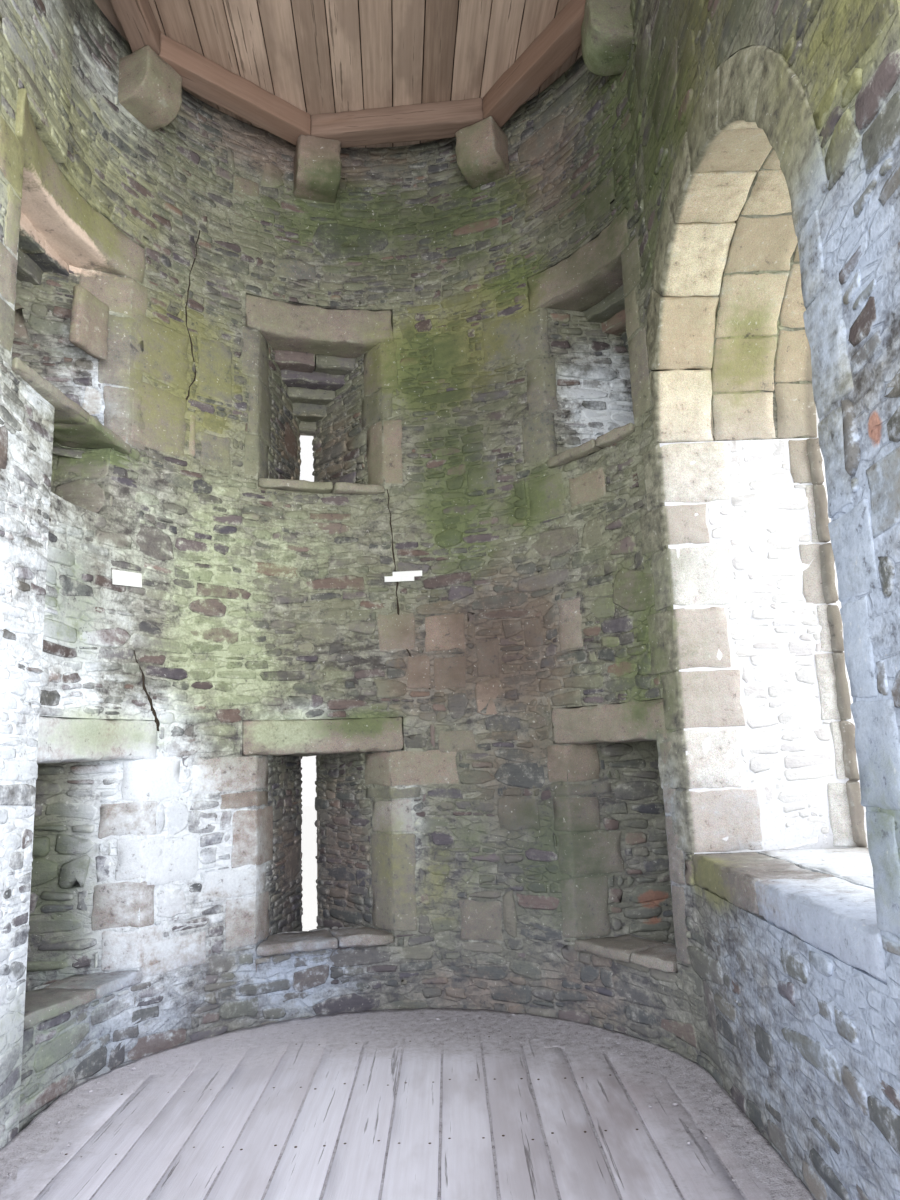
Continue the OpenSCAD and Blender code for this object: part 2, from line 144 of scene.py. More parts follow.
# Side of the room, places along the flank, the outer face of the beam
FLANK_CORBELS = {
    "left_flank_corbels": (-1, (LEFT_TURN_Y, FRONT_CORBEL_Y), LEFT_BEAM_X),
    "right_flank_corbels": (1, (RIGHT_TURN_Y, FRONT_CORBEL_Y), RIGHT_BEAM_X),
}
CEILING_PITCH, CEILING_GAP, CEILING_TURN = 0.208, 0.007, math.radians(3.4)
BOARD_SEAT = 0.045

# Floor
FLOOR_PITCH, FLOOR_GAP, FLOOR_JOINT = 0.22, 0.012, 0.06
EDGE_GAP = 0.015
SLEEPERS, SLEEPER_PITCH, SLEEPER_W = 6, 0.65, 0.18

# Stones: how far dressed ones stand out of the wall and rubble reaches into it, half the joint between
# dressed ones, their depth in an outside face, the width of a jamb that is nearly hidden, and the share of
# the window's sill that its nearer stone takes
DRESSED_PROUD = 0.007
RIM_SINK = 0.012
HALF_JOINT = 0.003
THIN_STONE = 0.08
HIDDEN_JAMB = 0.04
WINDOW_SILL_SPLIT = 0.53
# A place past every end of a face, and the radius at which the flags of the wall head are split
FAR_OUT = 9
FLAG_SPLIT = 2.12


def look_colour(red, green, blue):
    """A display colour in 0 to 255 as the linear values that sockets take."""
    out = []
    for value in (red, green, blue):
        share = value / 255
        out.append(share / 12.92 if share < 0.04045 else ((share + 0.055) / 1.055) ** 2.4)
    return (*out, 1.0)


def polar(radius, bearing):
    """Plan point at a bearing in radians."""
    return np.array([radius * math.sin(bearing), radius * math.cos(bearing)])


def across(bearing):
    """Unit vectors outward and to the right at a bearing in radians."""
    out = np.array([math.sin(bearing), math.cos(bearing)])
    return out, np.array([out[1], -out[0]])


def loops_at(level):
    """The lower or the upper loops, from left to right."""
    return [loop for loop in LOOPS if loop.name.startswith(level)]


def face_of(width):
    """Distance of an opening's corners along its bearing."""
    return math.sqrt(ROOM_R**2 - width**2 / 4)


def half_width(loop, radial):
    """Half the width of a loop's splay at a distance along its bearing."""
    start, end = face_of(loop.width), OUTER_R - THROAT
    share = np.clip((radial - start) / (end - start), 0, 1)
    return loop.width / 2 + share * (SLIT_W - loop.width) / 2


def waves(points, size, seed):
    """Smooth noise of about -1 to 1 over points, with bumps of about the given size."""
    rng = np.random.default_rng(seed)
    ways = rng.normal(size=(7, points.shape[-1]))
    ways *= (2 * math.pi / size * rng.uniform(0.5, 1.5, 7) / np.linalg.norm(ways, axis=1))[:, None]
    return np.sin(points @ ways.T + rng.uniform(0, 6.28, 7)).sum(-1) / 3.2


def plain(x, y, z):
    """Points at plan coordinates; as a place it lays a block as it is."""
    return np.stack(np.broadcast_arrays(x, y, z), -1)


class Face:
    """An upright wall face over a plan line, walked with the open side on the right hand."""

    def __init__(self, points):
        self.points = np.array(points, float)
        steps = np.diff(self.points, axis=0)
        lengths = np.hypot(steps[:, 0], steps[:, 1])
        self.along = np.concatenate([[0], np.cumsum(lengths)])
        self.length = self.along[-1]
        ways = steps / lengths[:, None]
        ways = (np.vstack([ways[:1], ways]) + np.vstack([ways, ways[-1:]])) / 2
        self.normals = np.stack([ways[:, 1], -ways[:, 0]], -1)

    def __call__(self, u, out, z):
        """Points at distance u along the face, out of it by out, at height z."""
        x, y = (np.interp(u, self.along, self.points[:, i]) for i in (0, 1))
        nx, ny = (np.interp(u, self.along, self.normals[:, i]) for i in (0, 1))
        return plain(x + nx * out, y + ny * out, z)


def arc(radius, first, last, step=0.02):
    """Plan points along an arc about the round end's centre, between two bearings."""
    count = max(2, int(abs(last - first) * radius / step))
    return [polar(radius, bearing) for bearing in np.linspace(first, last, count)]


left_inside = Face([(LEFT_FACE, FRONT), (LEFT_FACE, 0)])
round_inside = Face(arc(ROOM_R, -QUARTER, KINK) + [(RIGHT_FACE, FRONT)])
outside = Face([(OUTER_R, FRONT)] + arc(OUTER_R, QUARTER, -QUARTER) + [(-OUTER_R, FRONT)])
left_front = Face([(-OUTER_R, FRONT), (LEFT_FACE, FRONT)])
right_front = Face([(RIGHT_FACE, FRONT), (OUTER_R, FRONT)])
far_reveal = Face([(RIGHT_FACE, WINDOW_FAR), (OUTER_R, WINDOW_FAR)])
near_reveal = Face([(OUTER_R, WINDOW_NEAR), (RIGHT_FACE, WINDOW_NEAR)])


def round_u(degrees):
    """Distance along the round inside face at a bearing in degrees."""
    return ROOM_R * (math.radians(degrees) + QUARTER)


def round_span(degrees, half):
    """Both ends, along the round inside face, of what reaches half its width to each side of a bearing."""
    angle = math.degrees(math.asin(half / ROOM_R))
    return round_u(degrees - angle), round_u(degrees + angle)


def flank_u(y):
    """Distance along the round inside face at a place on the right flank."""
    kink_y = ROOM_R * math.cos(KINK)
    return ROOM_R * (KINK + QUARTER) + kink_y - y


def outside_u(degrees):
    """Distance along the outside face at a bearing in degrees."""
    return -FRONT + OUTER_R * (QUARTER - math.radians(degrees))


MARKS = ("tone", "hue", "kind", "rim")


class Pile:
    """Points and faces of many stones or boards that make one piece."""

    def __init__(self):
        self.points, self.local, self.faces = [], [], []
        self.marks = {mark: [] for mark in MARKS}
        self.count = 0

    def add(self, points, faces, local, **marks):
        """Adds one or more solids with their own coordinates and their marks for the finish."""
        self.points.append(points)
        self.local.append(local)
        for mark, values in self.marks.items():
            values.append(np.broadcast_to(marks.get(mark, 0.0), len(points)))
        for group in faces:
            self.faces.extend((group + self.count).tolist())
        self.count += len(points)

    def build(self, name, look, replaced=()):
        """Makes the mesh object in the material of a look, a material and its slot, whose slot is not used;
        it may stand for CAD nodes.
        """
        material, slot = look
        mesh = bpy.data.meshes.new(name)
        points = np.concatenate(self.points) + [0, MID_Y, 0]
        mesh.from_pydata(points.tolist(), [], self.faces)
        for mark, values in self.marks.items():
            layer = mesh.attributes.new(mark, "FLOAT", "POINT")
            layer.data.foreach_set("value", np.concatenate(values).astype(np.float32))
        layer = mesh.attributes.new("local", "FLOAT_VECTOR", "POINT")
        layer.data.foreach_set("vector", np.concatenate(self.local).astype(np.float32).ravel())
        mesh.shade_smooth()
        mesh.materials.append(material)
        piece = bpy.data.objects.new(name, mesh)
        bpy.context.scene.collection.objects.link(piece)
        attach(piece, "root")
        if replaced:
            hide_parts(*replaced)


def mirrored(place, middle):
    """True where a mapping from local to plan coordinates turns solids inside out."""
    tiny = 1e-3
    base = np.array([middle] * 4, float)
    base[1:] += np.eye(3) * tiny
    spots = place(*base.T)
    return np.linalg.det(spots[1:] - spots[0]) < 0


def lines_between(low, high, radius, step):
    """Grid lines from low to high with extra ones where the edges are rounded."""
    count = max(2, int(round((high - low) / step)) + 1)
    inner = np.linspace(low + radius, high - radius, count)
    return np.concatenate([[low, low + radius * 0.4], inner, [high - radius * 0.4, high]])


def grid_quads(grid):
    """Faces between the points of a grid of indices."""
    corners = [grid[:-1, :-1], grid[1:, :-1], grid[1:, 1:], grid[:-1, 1:]]
    return np.stack(corners, -1).reshape(-1, 4)


def block(pile, place, low, high, tone, hue=0.5, kind=1.0, radius=0.012, step=0.06, rough=0.002,
          seed=0, shape=None):
    """A stone or timber with rounded, worn edges between two corners, laid by place."""
    low, high = np.array(low, float), np.array(high, float)
    radius = min(radius, (high - low).min() * 0.45)
    axes = [lines_between(*ends, radius, size) for *ends, size in zip(low, high, np.broadcast_to(step, 3))]
    index = np.full([len(axis) for axis in axes], -1)
    shell = np.ones(index.shape, bool)
    shell[1:-1, 1:-1, 1:-1] = False
    index[shell] = np.arange(shell.sum())
    spots = np.stack(np.meshgrid(*axes, indexing="ij"), -1)[shell]
    core = np.clip(spots, low + radius, high - radius)
    off = spots - core
    reach = np.linalg.norm(off, axis=1, keepdims=True)
    corner = (np.abs(off) > 1e-6).sum(1, keepdims=True) > 1
    chip = np.clip(waves(spots + seed, 0.11, seed)[:, None] - 0.2, 0, 1) * radius * 0.9
    spots = core + off / np.maximum(reach, 1e-9) * (np.minimum(reach, radius) - corner * chip)
    if shape is not None:
        spots = shape(spots)
    local = spots.copy()
    wobble = np.stack([waves(spots + seed, 0.14, seed + i) for i in (1, 2, 3)], -1)
    fine = np.stack([waves(spots - seed, 0.045, seed + i) for i in (4, 5, 6)], -1)
    spots = spots + rough * (wobble + 0.5 * fine)
    faces = []
    flip_all = mirrored(place, (low + high) / 2)
    for axis in range(3):
        for side in (0, -1):
            quads = grid_quads(np.take(index, side, axis=axis))
            flip = (side == 0) != (axis == 1)
            faces.append(quads[:, ::-1] if flip != flip_all else quads)
    pile.add(place(*spots.T), faces, local, tone=tone, hue=hue, kind=kind, rim=corner[:, 0].astype(float))


def parts(low, high, least, most, rng):
    """Cuts a length into random parts between two sizes."""
    count = max(1, round((high - low) / ((least + most) / 2)))
    cuts = np.cumsum(rng.uniform(least, most, count))
    cuts = low + (high - low) * np.concatenate([[0], cuts / cuts[-1]])
    return list(zip(cuts[:-1], cuts[1:]))


def without(cells, hole):
    """Cells less a rectangular hole, as the rectangles that are left."""
    a0, a1, b0, b1 = hole
    left = []
    for u0, u1, v0, v1, big in cells:
        if u1 <= a0 or u0 >= a1 or v1 <= b0 or v0 >= b1:
            left.append((u0, u1, v0, v1, big))
            continue
        left.append((u0, min(u1, a0), v0, v1, big))
        left.append((max(u0, a1), u1, v0, v1, big))
        left.append((max(u0, a0), min(u1, a1), v0, min(v1, b0), big))
        left.append((max(u0, a0), min(u1, a1), max(v0, b1), v1, big))
    return [cell for cell in left if cell[1] - cell[0] > 0.028 and cell[3] - cell[2] > 0.018]


def split_by_crack(cells, crack):
    """Parts the stones that an open crack runs through."""
    along, heights, half_widths = crack[::-1].T
    out = []
    for u0, u1, v0, v1, big in cells:
        middle = (v0 + v1) / 2
        cut, wide = np.interp(middle, heights, along), np.interp(middle, heights, half_widths) + 0.003
        if heights[0] < middle < heights[-1] and u0 - wide < cut < u1 + wide:
            out += [(u0, cut - wide, v0, v1, big), (cut + wide, u1, v0, v1, big)]
        else:
            out.append((u0, u1, v0, v1, big))
    return [cell for cell in out if cell[1] - cell[0] > 0.02]


def cut_panel(cell, tall, rng, out, largest):
    """Cuts a panel again and again into the cells of rubble stones."""
    u0, u1, v0, v1 = cell
    width, height = u1 - u0, v1 - v0
    if 0.7 < width / height < 2.4 and 0.11 < height < 0.30 and rng.random() < largest:
        out.append((*cell, 1.0))
    elif height > tall * rng.uniform(0.8, 2.0) and width < 7 * height:
        cut = v0 + height * rng.uniform(0.33, 0.67)
        cut_panel((u0, u1, v0, cut), tall, rng, out, largest)
        cut_panel((u0, u1, cut, v1), tall, rng, out, largest)
    elif width > height * rng.uniform(2.2, 6.0):
        cut = u0 + width * rng.uniform(0.33, 0.67)
        cut_panel((u0, cut, v0, v1), tall, rng, out, largest)
        cut_panel((cut, u1, v0, v1), tall, rng, out, largest)
    else:
        out.append((*cell, 0.0))


def courses(extent, tall, rng, largest, grow):
    """Cells of a face's rubble: rough courses, cut into blocks and those into stones."""
    u0, u1, v0, v1 = extent
    cells = []
    bed = v0
    while v1 - bed > 1e-6:
        rise = tall * rng.choice([1.0, 1.7, 2.6, 3.8])
        if v1 - bed - rise < tall * 0.6:
            rise = v1 - bed
        start = u0
        while u1 - start > 1e-6:
            run = rng.uniform(0.15, 0.7) * tall / 0.06
            if u1 - start - run < 0.12:
                run = u1 - start
            size = tall * float(grow(np.array([[start + run / 2, bed + rise / 2]]))[0])
            cut_panel((start, start + run, bed, bed + rise), size, rng, cells, largest)
            start += run
        bed += rise
    return cells


# Points round each ring of a rubble stone, and points of the whole stone
RIM = 11
STONE_POINTS = 3 * RIM + 1
HOLE_MARGIN = 0.004


def one_size(spots):
    """Stones of the same size all over a face."""
    return np.ones(len(spots))


def stone_forms(half, proud, rng):
    """Points of rubble stones about their middles: a sunk ring, two rings in front and the face's middle."""
    count = len(half)
    wide, tall = half[:, :1], half[:, 1:]
    least = half.min(1)[:, None]
    turn = np.linspace(0, 2 * math.pi, RIM, endpoint=False)[None, :] + rng.uniform(0, 0.5, (count, 1))
    power = rng.uniform(0.30, 0.75, (count, 1))
    x = np.sign(np.cos(turn)) * np.abs(np.cos(turn)) ** power * wide
    y = np.sign(np.sin(turn)) * np.abs(np.sin(turn)) ** power * tall
    x = x + rng.uniform(-0.32, 0.24, x.shape) * least
    y = y + rng.uniform(-0.24, 0.14, y.shape) * least
    y = y * (1 - rng.uniform(-0.32, 0.32, (count, 1)) * x / wide)
    y = y + rng.uniform(-0.2, 0.2, (count, 1)) * x * (tall / wide)
    stand = np.clip(rng.normal(proud, proud * 0.8, (count, 1)), 0.0015, proud * 3.0)
    edge = np.minimum(least * 0.5, 0.012)
    tilt = rng.normal(0, 0.03, (count, 2))
    rings = [np.stack([x, np.full(x.shape, -RIM_SINK), y], -1)]
    for inset, height in ((0.10, 0.5), (1.0, 1.0)):
        rx = x * (1 - inset * edge / wide)
        ry = y * (1 - inset * edge / tall)
        out = stand * height + rng.normal(0, 0.0016, rx.shape) * height
        out = out + np.clip(tilt[:, :1] * rx + tilt[:, 1:] * ry, -0.004, 0.004)
        rings.append(np.stack([rx, out, ry], -1))
    heart = np.stack([0 * stand, stand + rng.normal(0, 0.0025, stand.shape), 0 * stand], -1)
    return np.concatenate(rings + [heart], 1)


def stone_faces(count):
    """Faces of that many rubble stones, whose points follow each other."""
    base = (np.arange(count) * STONE_POINTS)[:, None]
    step = np.arange(RIM)[None, :]
    after = (step + 1) % RIM
    faces = []
    for ring in (base, base + RIM):
        quads = [ring + step, ring + after, ring + RIM + after, ring + RIM + step]
        faces.append(np.stack(quads, -1).reshape(-1, 4))
    top = [base + 2 * RIM + step, base + 2 * RIM + after, base + 3 * RIM + 0 * step]
    faces.append(np.stack(top, -1).reshape(-1, 3))
    faces.append((base + step)[:, ::-1])
    return faces


def keep_clear(spots, middle, holes):
    """Pushes points out of rectangular holes, to the side where the middle of their stone lies."""
    for a0, a1, b0, b1 in holes:
        left, right, foot, head = a0 - HOLE_MARGIN, a1 + HOLE_MARGIN, b0 - HOLE_MARGIN, b1 + HOLE_MARGIN
        bounds = ((0, left, np.minimum), (0, right, np.maximum),
                  (2, foot, np.minimum), (2, head, np.maximum))
        u, v = spots[..., 0], spots[..., 2]
        inside = (u > left) & (u < right) & (v > foot) & (v < head)
        rows = np.unique(np.nonzero(inside)[0])
        if not len(rows):
            continue
        along, up = middle[rows].T
        side = np.stack([a0 - along, along - a1, b0 - up, up - b1]).argmax(0)
        for number, (axis, bound, limit) in enumerate(bounds):
            mine = rows[side == number]
            spots[mine, :, axis] = limit(spots[mine][..., axis], bound)


def rubble(piles, place, extent, holes=(), tall=0.058, proud=0.006, gap=0.004, seed=1, circle=None,
           largest=0.10, cracks=(), bare=None, grow=one_size):
    """Lays closed rubble stones over a face, clear of its holes and of a circle, over piles by height.

    bare gives the share of the stones that the mortar hides at places on the face, and grow their size."""
    rng = np.random.default_rng(seed)
    cells = courses(extent, tall, rng, largest, grow)
    for hole in holes:
        cells = without(cells, hole)
    for crack in cracks:
        cells = split_by_crack(cells, crack)
    cells = np.array(cells)
    middle = np.stack([(cells[:, 0] + cells[:, 1]) / 2, (cells[:, 2] + cells[:, 3]) / 2], -1)
    if circle is not None:
        centre, radius = circle
        clear = np.hypot(*(middle - centre).T) > radius
        cells, middle = cells[clear], middle[clear]
    if bare is not None:
        shown = rng.random(len(cells)) > bare(middle)
        cells, middle = cells[shown], middle[shown]
    count = len(cells)
    half = np.stack([cells[:, 1] - cells[:, 0], cells[:, 3] - cells[:, 2]], -1) / 2
    half = np.maximum(half - gap * grow(middle)[:, None] * rng.uniform(0.1, 1.9, (count, 2)), 0.007)
    local = stone_forms(half, proud, rng)
    spots = local + np.stack([middle[:, 0], 0 * middle[:, 0], middle[:, 1]], -1)[:, None, :]
    flat = spots[..., [0, 2]]
    spots[..., 0] += 0.010 * waves(flat, 0.6, seed + 5)
    spots[..., 2] += 0.016 * waves(flat, 0.9, seed + 6)
    for axis, low, high in ((0, *extent[:2]), (2, *extent[2:])):
        spots[..., axis] = np.clip(spots[..., axis], low + 0.002, high - 0.002)
    keep_clear(spots, middle, holes)
    if circle is not None:
        away = spots[..., [0, 2]] - centre
        reach = np.linalg.norm(away, axis=-1, keepdims=True)
        away = away * np.maximum(reach, radius + 0.006) / np.maximum(reach, 1e-6)
        spots[..., [0, 2]] = away + centre
    marks = {"tone": rng.random(count), "hue": rng.random(count)}
    marks["kind"] = cells[:, 4] * (rng.random(count) < 0.55)
    local = local + rng.uniform(0, 9, (count, 1, 1))
    flip = not mirrored(place, [(extent[0] + extent[1]) / 2, 0, (extent[2] + extent[3]) / 2])
    rim = np.array([1.0] * RIM + [0.9] * RIM + [0.45] * RIM + [0.0])
    level = (middle[:, 1] - extent[2]) / (extent[3] - extent[2]) * len(piles)
    level = np.clip(level.astype(int), 0, len(piles) - 1)
    for number, pile in enumerate(piles):
        mine = level == number
        kept = int(mine.sum())
        if not kept:
            continue
        faces = stone_faces(kept)
        if flip:
            faces = [group[:, ::-1] for group in faces]
        points = place(*(spots[mine][..., axis].ravel() for axis in range(3)))
        each = {mark: np.repeat(values[mine], STONE_POINTS) for mark, values in marks.items()}
        pile.add(points, faces, local[mine].reshape(-1, 3), rim=np.tile(rim, kept), **each)


def plug(tree, socket, value):
    """Sets a socket to a number, a colour or a link."""
    if isinstance(value, Value):
        tree.links.new(value.socket, socket)
    elif value is not None:
        socket.default_value = value


def add_node(tree, kind, settings=None, *values, **named):
    """A new node: settings first, then the values or links of its sockets, in order or by name."""
    node = tree.nodes.new(kind)
    for key, setting in (settings or {}).items():
        setattr(node, key, setting)
    for socket, value in zip(node.inputs, values):
        plug(tree, socket, value)
    for key, value in named.items():
        plug(tree, node.inputs[key], value)
    return node


class Value:
    """A shader value: arithmetic on it adds Math nodes."""

    def __init__(self, tree, socket):
        self.tree, self.socket = tree, socket

    def math(self, operation, *others):
        node = add_node(self.tree, "ShaderNodeMath", {"operation": operation}, self, *others)
        return Value(self.tree, node.outputs[0])

    def __add__(self, other):
        return self.math("ADD", other)

    __radd__ = __add__

    def __mul__(self, other):
        return self.math("MULTIPLY", other)

    __rmul__ = __mul__

    def __sub__(self, other):
        return self.math("SUBTRACT", other)

    def __rsub__(self, other):
        return (self * -1.0).math("ADD", other)

    def clamp(self):
        return Value(self.tree, add_node(self.tree, "ShaderNodeClamp", None, self).outputs[0])


class Finish:
    """A material under construction."""

    def __init__(self, name):
        self.material = bpy.data.materials.new(name)
        self.material.use_nodes = True
        self.tree = self.material.node_tree
        self.shader = self.tree.nodes["Principled BSDF"]
        self.place = self.out("ShaderNodeTexCoord", "Object")

    def out(self, kind, output, settings=None, *values, **named):
        """One output of a new node as a value."""
        node = add_node(self.tree, kind, settings, *values, **named)
        return Value(self.tree, node.outputs[output])

    def attribute(self, name, output="Fac"):
        """A mark of the stones or boards."""
        return self.out("ShaderNodeAttribute", output, {"attribute_name": name})

    def along(self, axis):
        """Place along X, Y or Z in the part's frame."""
        return self.out("ShaderNodeSeparateXYZ", axis, Vector=self.place)

    def vector(self, operation, *values, output="Vector"):
        """Vector Math on vectors."""
        return self.out("ShaderNodeVectorMath", output, {"operation": operation}, *values)

    def noise(self, scale, detail=3.0, vector=None, roughness=0.55):
        """Cloudy noise of 0 to 1."""
        return self.out("ShaderNodeTexNoise", "Fac", Scale=scale, Detail=detail, Roughness=roughness,
                        Vector=vector or self.place)

    def stretched_noise(self, vector, scale, detail):
        """Cloudy noise with its own scale along each axis."""
        return self.noise(1.0, detail, self.vector("MULTIPLY", vector, scale))

    def cells(self, scale, vector=None, feature="F1", output="Distance"):
        """Voronoi cells."""
        return self.out("ShaderNodeTexVoronoi", output, {"feature": feature}, Scale=scale,
                        Vector=vector or self.place)

    def ramp(self, value, stops):
        """A colour for each value between named stops."""
        node = add_node(self.tree, "ShaderNodeValToRGB")
        band = node.color_ramp
        while len(band.elements) < len(stops):
            band.elements.new(0.5)
        for element, (position, colour) in zip(band.elements, stops):
            element.position = position
            element.color = look_colour(*colour)
        plug(self.tree, node.inputs["Fac"], value)
        return Value(self.tree, node.outputs["Color"])

    def mix(self, share, first, second, how="MIX"):
        """A blend of two colours: links, display colours, or linear ones with their alpha."""
        node = add_node(self.tree, "ShaderNodeMix", {"data_type": "RGBA", "blend_type": how})
        plug(self.tree, node.inputs[0], share)
        for number, colour in ((6, first), (7, second)):
            shown = isinstance(colour, tuple) and len(colour) == 3
            plug(self.tree, node.inputs[number], look_colour(*colour) if shown else colour)
        return Value(self.tree, node.outputs[2])

    def within(self, value, low, high, start=0.0, end=1.0):
        """start below low, end above high and smooth between."""
        smooth = {"interpolation_type": "SMOOTHSTEP"}
        return self.out("ShaderNodeMapRange", 0, smooth, value, low, high, start, end)

    def patches(self, spots):
        """Soft patches about named places: each a centre, a reach and a strength."""
        total = None
        for centre, reach, strength in spots.values():
            scale = [1 / r for r in reach]
            shift = [-c / r for c, r in zip(centre, reach)]
            near = self.vector("MULTIPLY_ADD", self.place, scale, shift)
            far = self.vector("LENGTH", near, output="Value")
            patch = self.within(far, 0.0, 1.45, strength, 0.0)
            total = patch if total is None else total.math("MAXIMUM", patch)
        return total

    def finish(self, colour, roughness, height=None, depth=0.003):
        """Feeds the shader and gives the material."""
        inputs = self.shader.inputs
        plug(self.tree, inputs["Base Color"], colour)
        plug(self.tree, inputs["Roughness"], roughness)
        inputs["Specular IOR Level"].default_value = 0.2
        if height is not None:
            bump = self.out("ShaderNodeBump", "Normal", Strength=1.0, Distance=depth, Height=height)
            plug(self.tree, inputs["Normal"], bump)
        return self.material


def wall_spot(degrees, above_floor, radius=None):
    """A point on the round wall at a bearing and a height above the floor."""
    x, y = polar(radius or ROOM_R, math.radians(degrees))
    return (x, y + MID_Y, FLOOR + above_floor)


def left_spot(y, above_floor):
    """A point on the left flank."""
    return (LEFT_FACE, y + MID_Y, FLOOR + above_floor)


def right_spot(y, above_floor, into=0.0):
    """A point on the right flank, or into its wall."""
    return (RIGHT_FACE + into, y + MID_Y, FLOOR + above_floor)


# Where growths, lime, colours of stone and painted light and shade show: centre, reach along X, Y and Z,
# strength
BRIGHT_ALGAE = {
    "below_left_loop": (wall_spot(-42, 2.6), (0.5, 0.5, 0.95), 0.95),
    "left_of_centre_lintel": (wall_spot(-34, 2.1), (0.42, 0.42, 0.5), 0.85),
    "left_pier_middle": (wall_spot(-57, 2.9), (0.4, 0.45, 0.6), 0.45),
    "under_centre_loop": (wall_spot(-24, 3.0), (0.6, 0.5, 0.4), 0.5),
    "arch_crown": (right_spot(WINDOW_FAR - 0.15, 4.0, 0.55), (0.45, 0.4, 0.5), 0.6),
    "left_cheek": (wall_spot(-68, 0.5, 1.9), (0.35, 0.35, 0.3), 0.5),
    "corbel_foot": (right_spot(0.33, 5.8, -0.2), (0.22, 0.2, 0.16), 1.1),
    "centre_lintel": (wall_spot(-25, 1.8), (0.4, 0.35, 0.16), 1.25),
    "left_lintel": (wall_spot(-69, 1.78), (0.6, 0.7, 0.17), 0.85),
}
OLIVE = {
    "left_blocks": (wall_spot(-50, 4.1), (0.55, 0.55, 0.65), 0.85),
    "arch_crown": (right_spot(WINDOW_FAR - 0.1, 3.75, 0.5), (0.24, 0.4, 0.5), 0.95),
    "left_flank_top": (left_spot(-0.5, 4.7), (0.45, 1.1, 0.9), 0.9),
    "left_top": (wall_spot(-80, 5.1), (0.6, 0.8, 0.75), 0.8),
    "centre_blocks": (wall_spot(14, 4.45), (0.6, 0.5, 0.45), 1.3),
    "low_centre": (wall_spot(9, 0.8), (0.3, 0.3, 0.35), 0.6),
    "centre_jamb": (wall_spot(0, 1.0), (0.24, 0.3, 0.5), 0.65),
    "right_lintel": (wall_spot(33, 4.8), (0.45, 0.4, 0.35), 0.8),
    "right_flank_top": (right_spot(-2.1, 3.7), (0.4, 0.8, 0.55), 0.8),
    "over_arch": (right_spot(-0.7, 4.75), (0.35, 0.9, 0.5), 0.7),
    "sill_stone": (right_spot(WINDOW_FAR - 0.3, 0.97), (0.12, 0.4, 0.16), 1.2),
}
DARK_ALGAE = {
    "over_centre_loop": (wall_spot(-6, 5.55), (0.95, 0.7, 0.42), 0.85),
    "top_right": (wall_spot(24, 5.5), (0.7, 0.6, 0.45), 0.75),
    "beside_centre_loop": (wall_spot(11, 4.35), (0.45, 0.4, 0.45), 0.95),
    "right_lintel": (wall_spot(36, 4.9), (0.32, 0.32, 0.22), 0.95),
    "right_of_centre": (wall_spot(17, 3.35), (0.34, 0.34, 0.75), 0.95),
    "right_sill": (wall_spot(37, 3.25), (0.3, 0.3, 0.28), 0.85),
    "window_edge": (wall_spot(67, 2.15), (0.4, 0.5, 0.75), 0.75),
    "right_corner_top": (wall_spot(72, 5.3), (0.55, 0.65, 0.9), 0.85),
    "over_window": (right_spot(-0.1, 4.75), (0.35, 0.7, 0.7), 0.8),
    "low_right": (wall_spot(38, 0.95), (0.42, 0.42, 0.55), 0.75),
    "low_centre": (wall_spot(16, 1.0), (0.3, 0.3, 0.45), 0.5),
    "centre_lintel": (wall_spot(-8, 1.82), (0.36, 0.3, 0.13), 1.15),
    "left_lintel": (wall_spot(-68, 1.76), (0.5, 0.5, 0.14), 0.3),
    "recess_head": (wall_spot(-74, 3.42), (0.4, 0.45, 0.12), 1.0),
    "lower_left_cheek": (wall_spot(-68, 0.9, 2.0), (0.34, 0.4, 0.7), 0.55),
    "left_foot": (wall_spot(-83, 0.3), (0.5, 0.7, 0.45), 0.6),
    "left_middle": (wall_spot(-78, 2.5), (0.35, 0.4, 0.5), 0.5),
    "near_jamb": (right_spot(WINDOW_NEAR - 0.1, 1.35), (0.25, 0.25, 0.35), 0.7),
    # Dark algae and painted shade: the inside of the recess is darkened as the shade under its head slab.
    "recess": (wall_spot(-80, 3.3, 1.85), (0.4, 0.4, 0.3), 0.8),
}
# Lime bloom, which also paints the window's light on the left flank, the low left wall, the far reveal and
# the window's sill
LIME_AND_WINDOW_LIGHT = {
    "left_flank": (left_spot(-0.6, 1.5), (0.4, 1.6, 2.0), 1.0),
    "left_flank_high": (left_spot(-0.9, 4.7), (0.4, 1.3, 1.5), 0.65),
    "left_cheek_upper": (wall_spot(-66, 4.0, 1.9), (0.4, 0.4, 0.5), 0.5),
    "left_corbel": (wall_spot(-78, 5.4), (0.5, 0.6, 0.8), 0.5),
    "left_pier_upper": (wall_spot(-58, 2.9), (0.45, 0.5, 0.7), 0.3),
    "left_jamb": (left_spot(-0.2, 4.0), (0.3, 0.35, 0.8), 0.8),
    "left_pier_low": (wall_spot(-56, 1.15), (0.45, 0.5, 0.95), 1.25),
    "left_low_wall": (wall_spot(-40, 1.05), (0.55, 0.5, 0.6), 0.95),
    "left_middle": (wall_spot(-68, 2.5), (0.5, 0.5, 0.7), 0.35),
    "centre_lintel": (wall_spot(-22, 1.78), (0.5, 0.4, 0.25), 0.6),
    "far_reveal": (right_spot(WINDOW_FAR + 0.05, 2.2, 0.45), (0.42, 0.25, 1.9), 0.3),
    "beside_centre_jamb": (wall_spot(3, 1.1), (0.16, 0.2, 0.5), 0.55),
    "sill_top": (right_spot(WINDOW_MID, 1.08, 0.5), (0.46, 1.1, 0.07), 1.6),
    "right_cheek": (wall_spot(50, 3.9, 2.0), (0.4, 0.55, 0.5), 0.9),
}
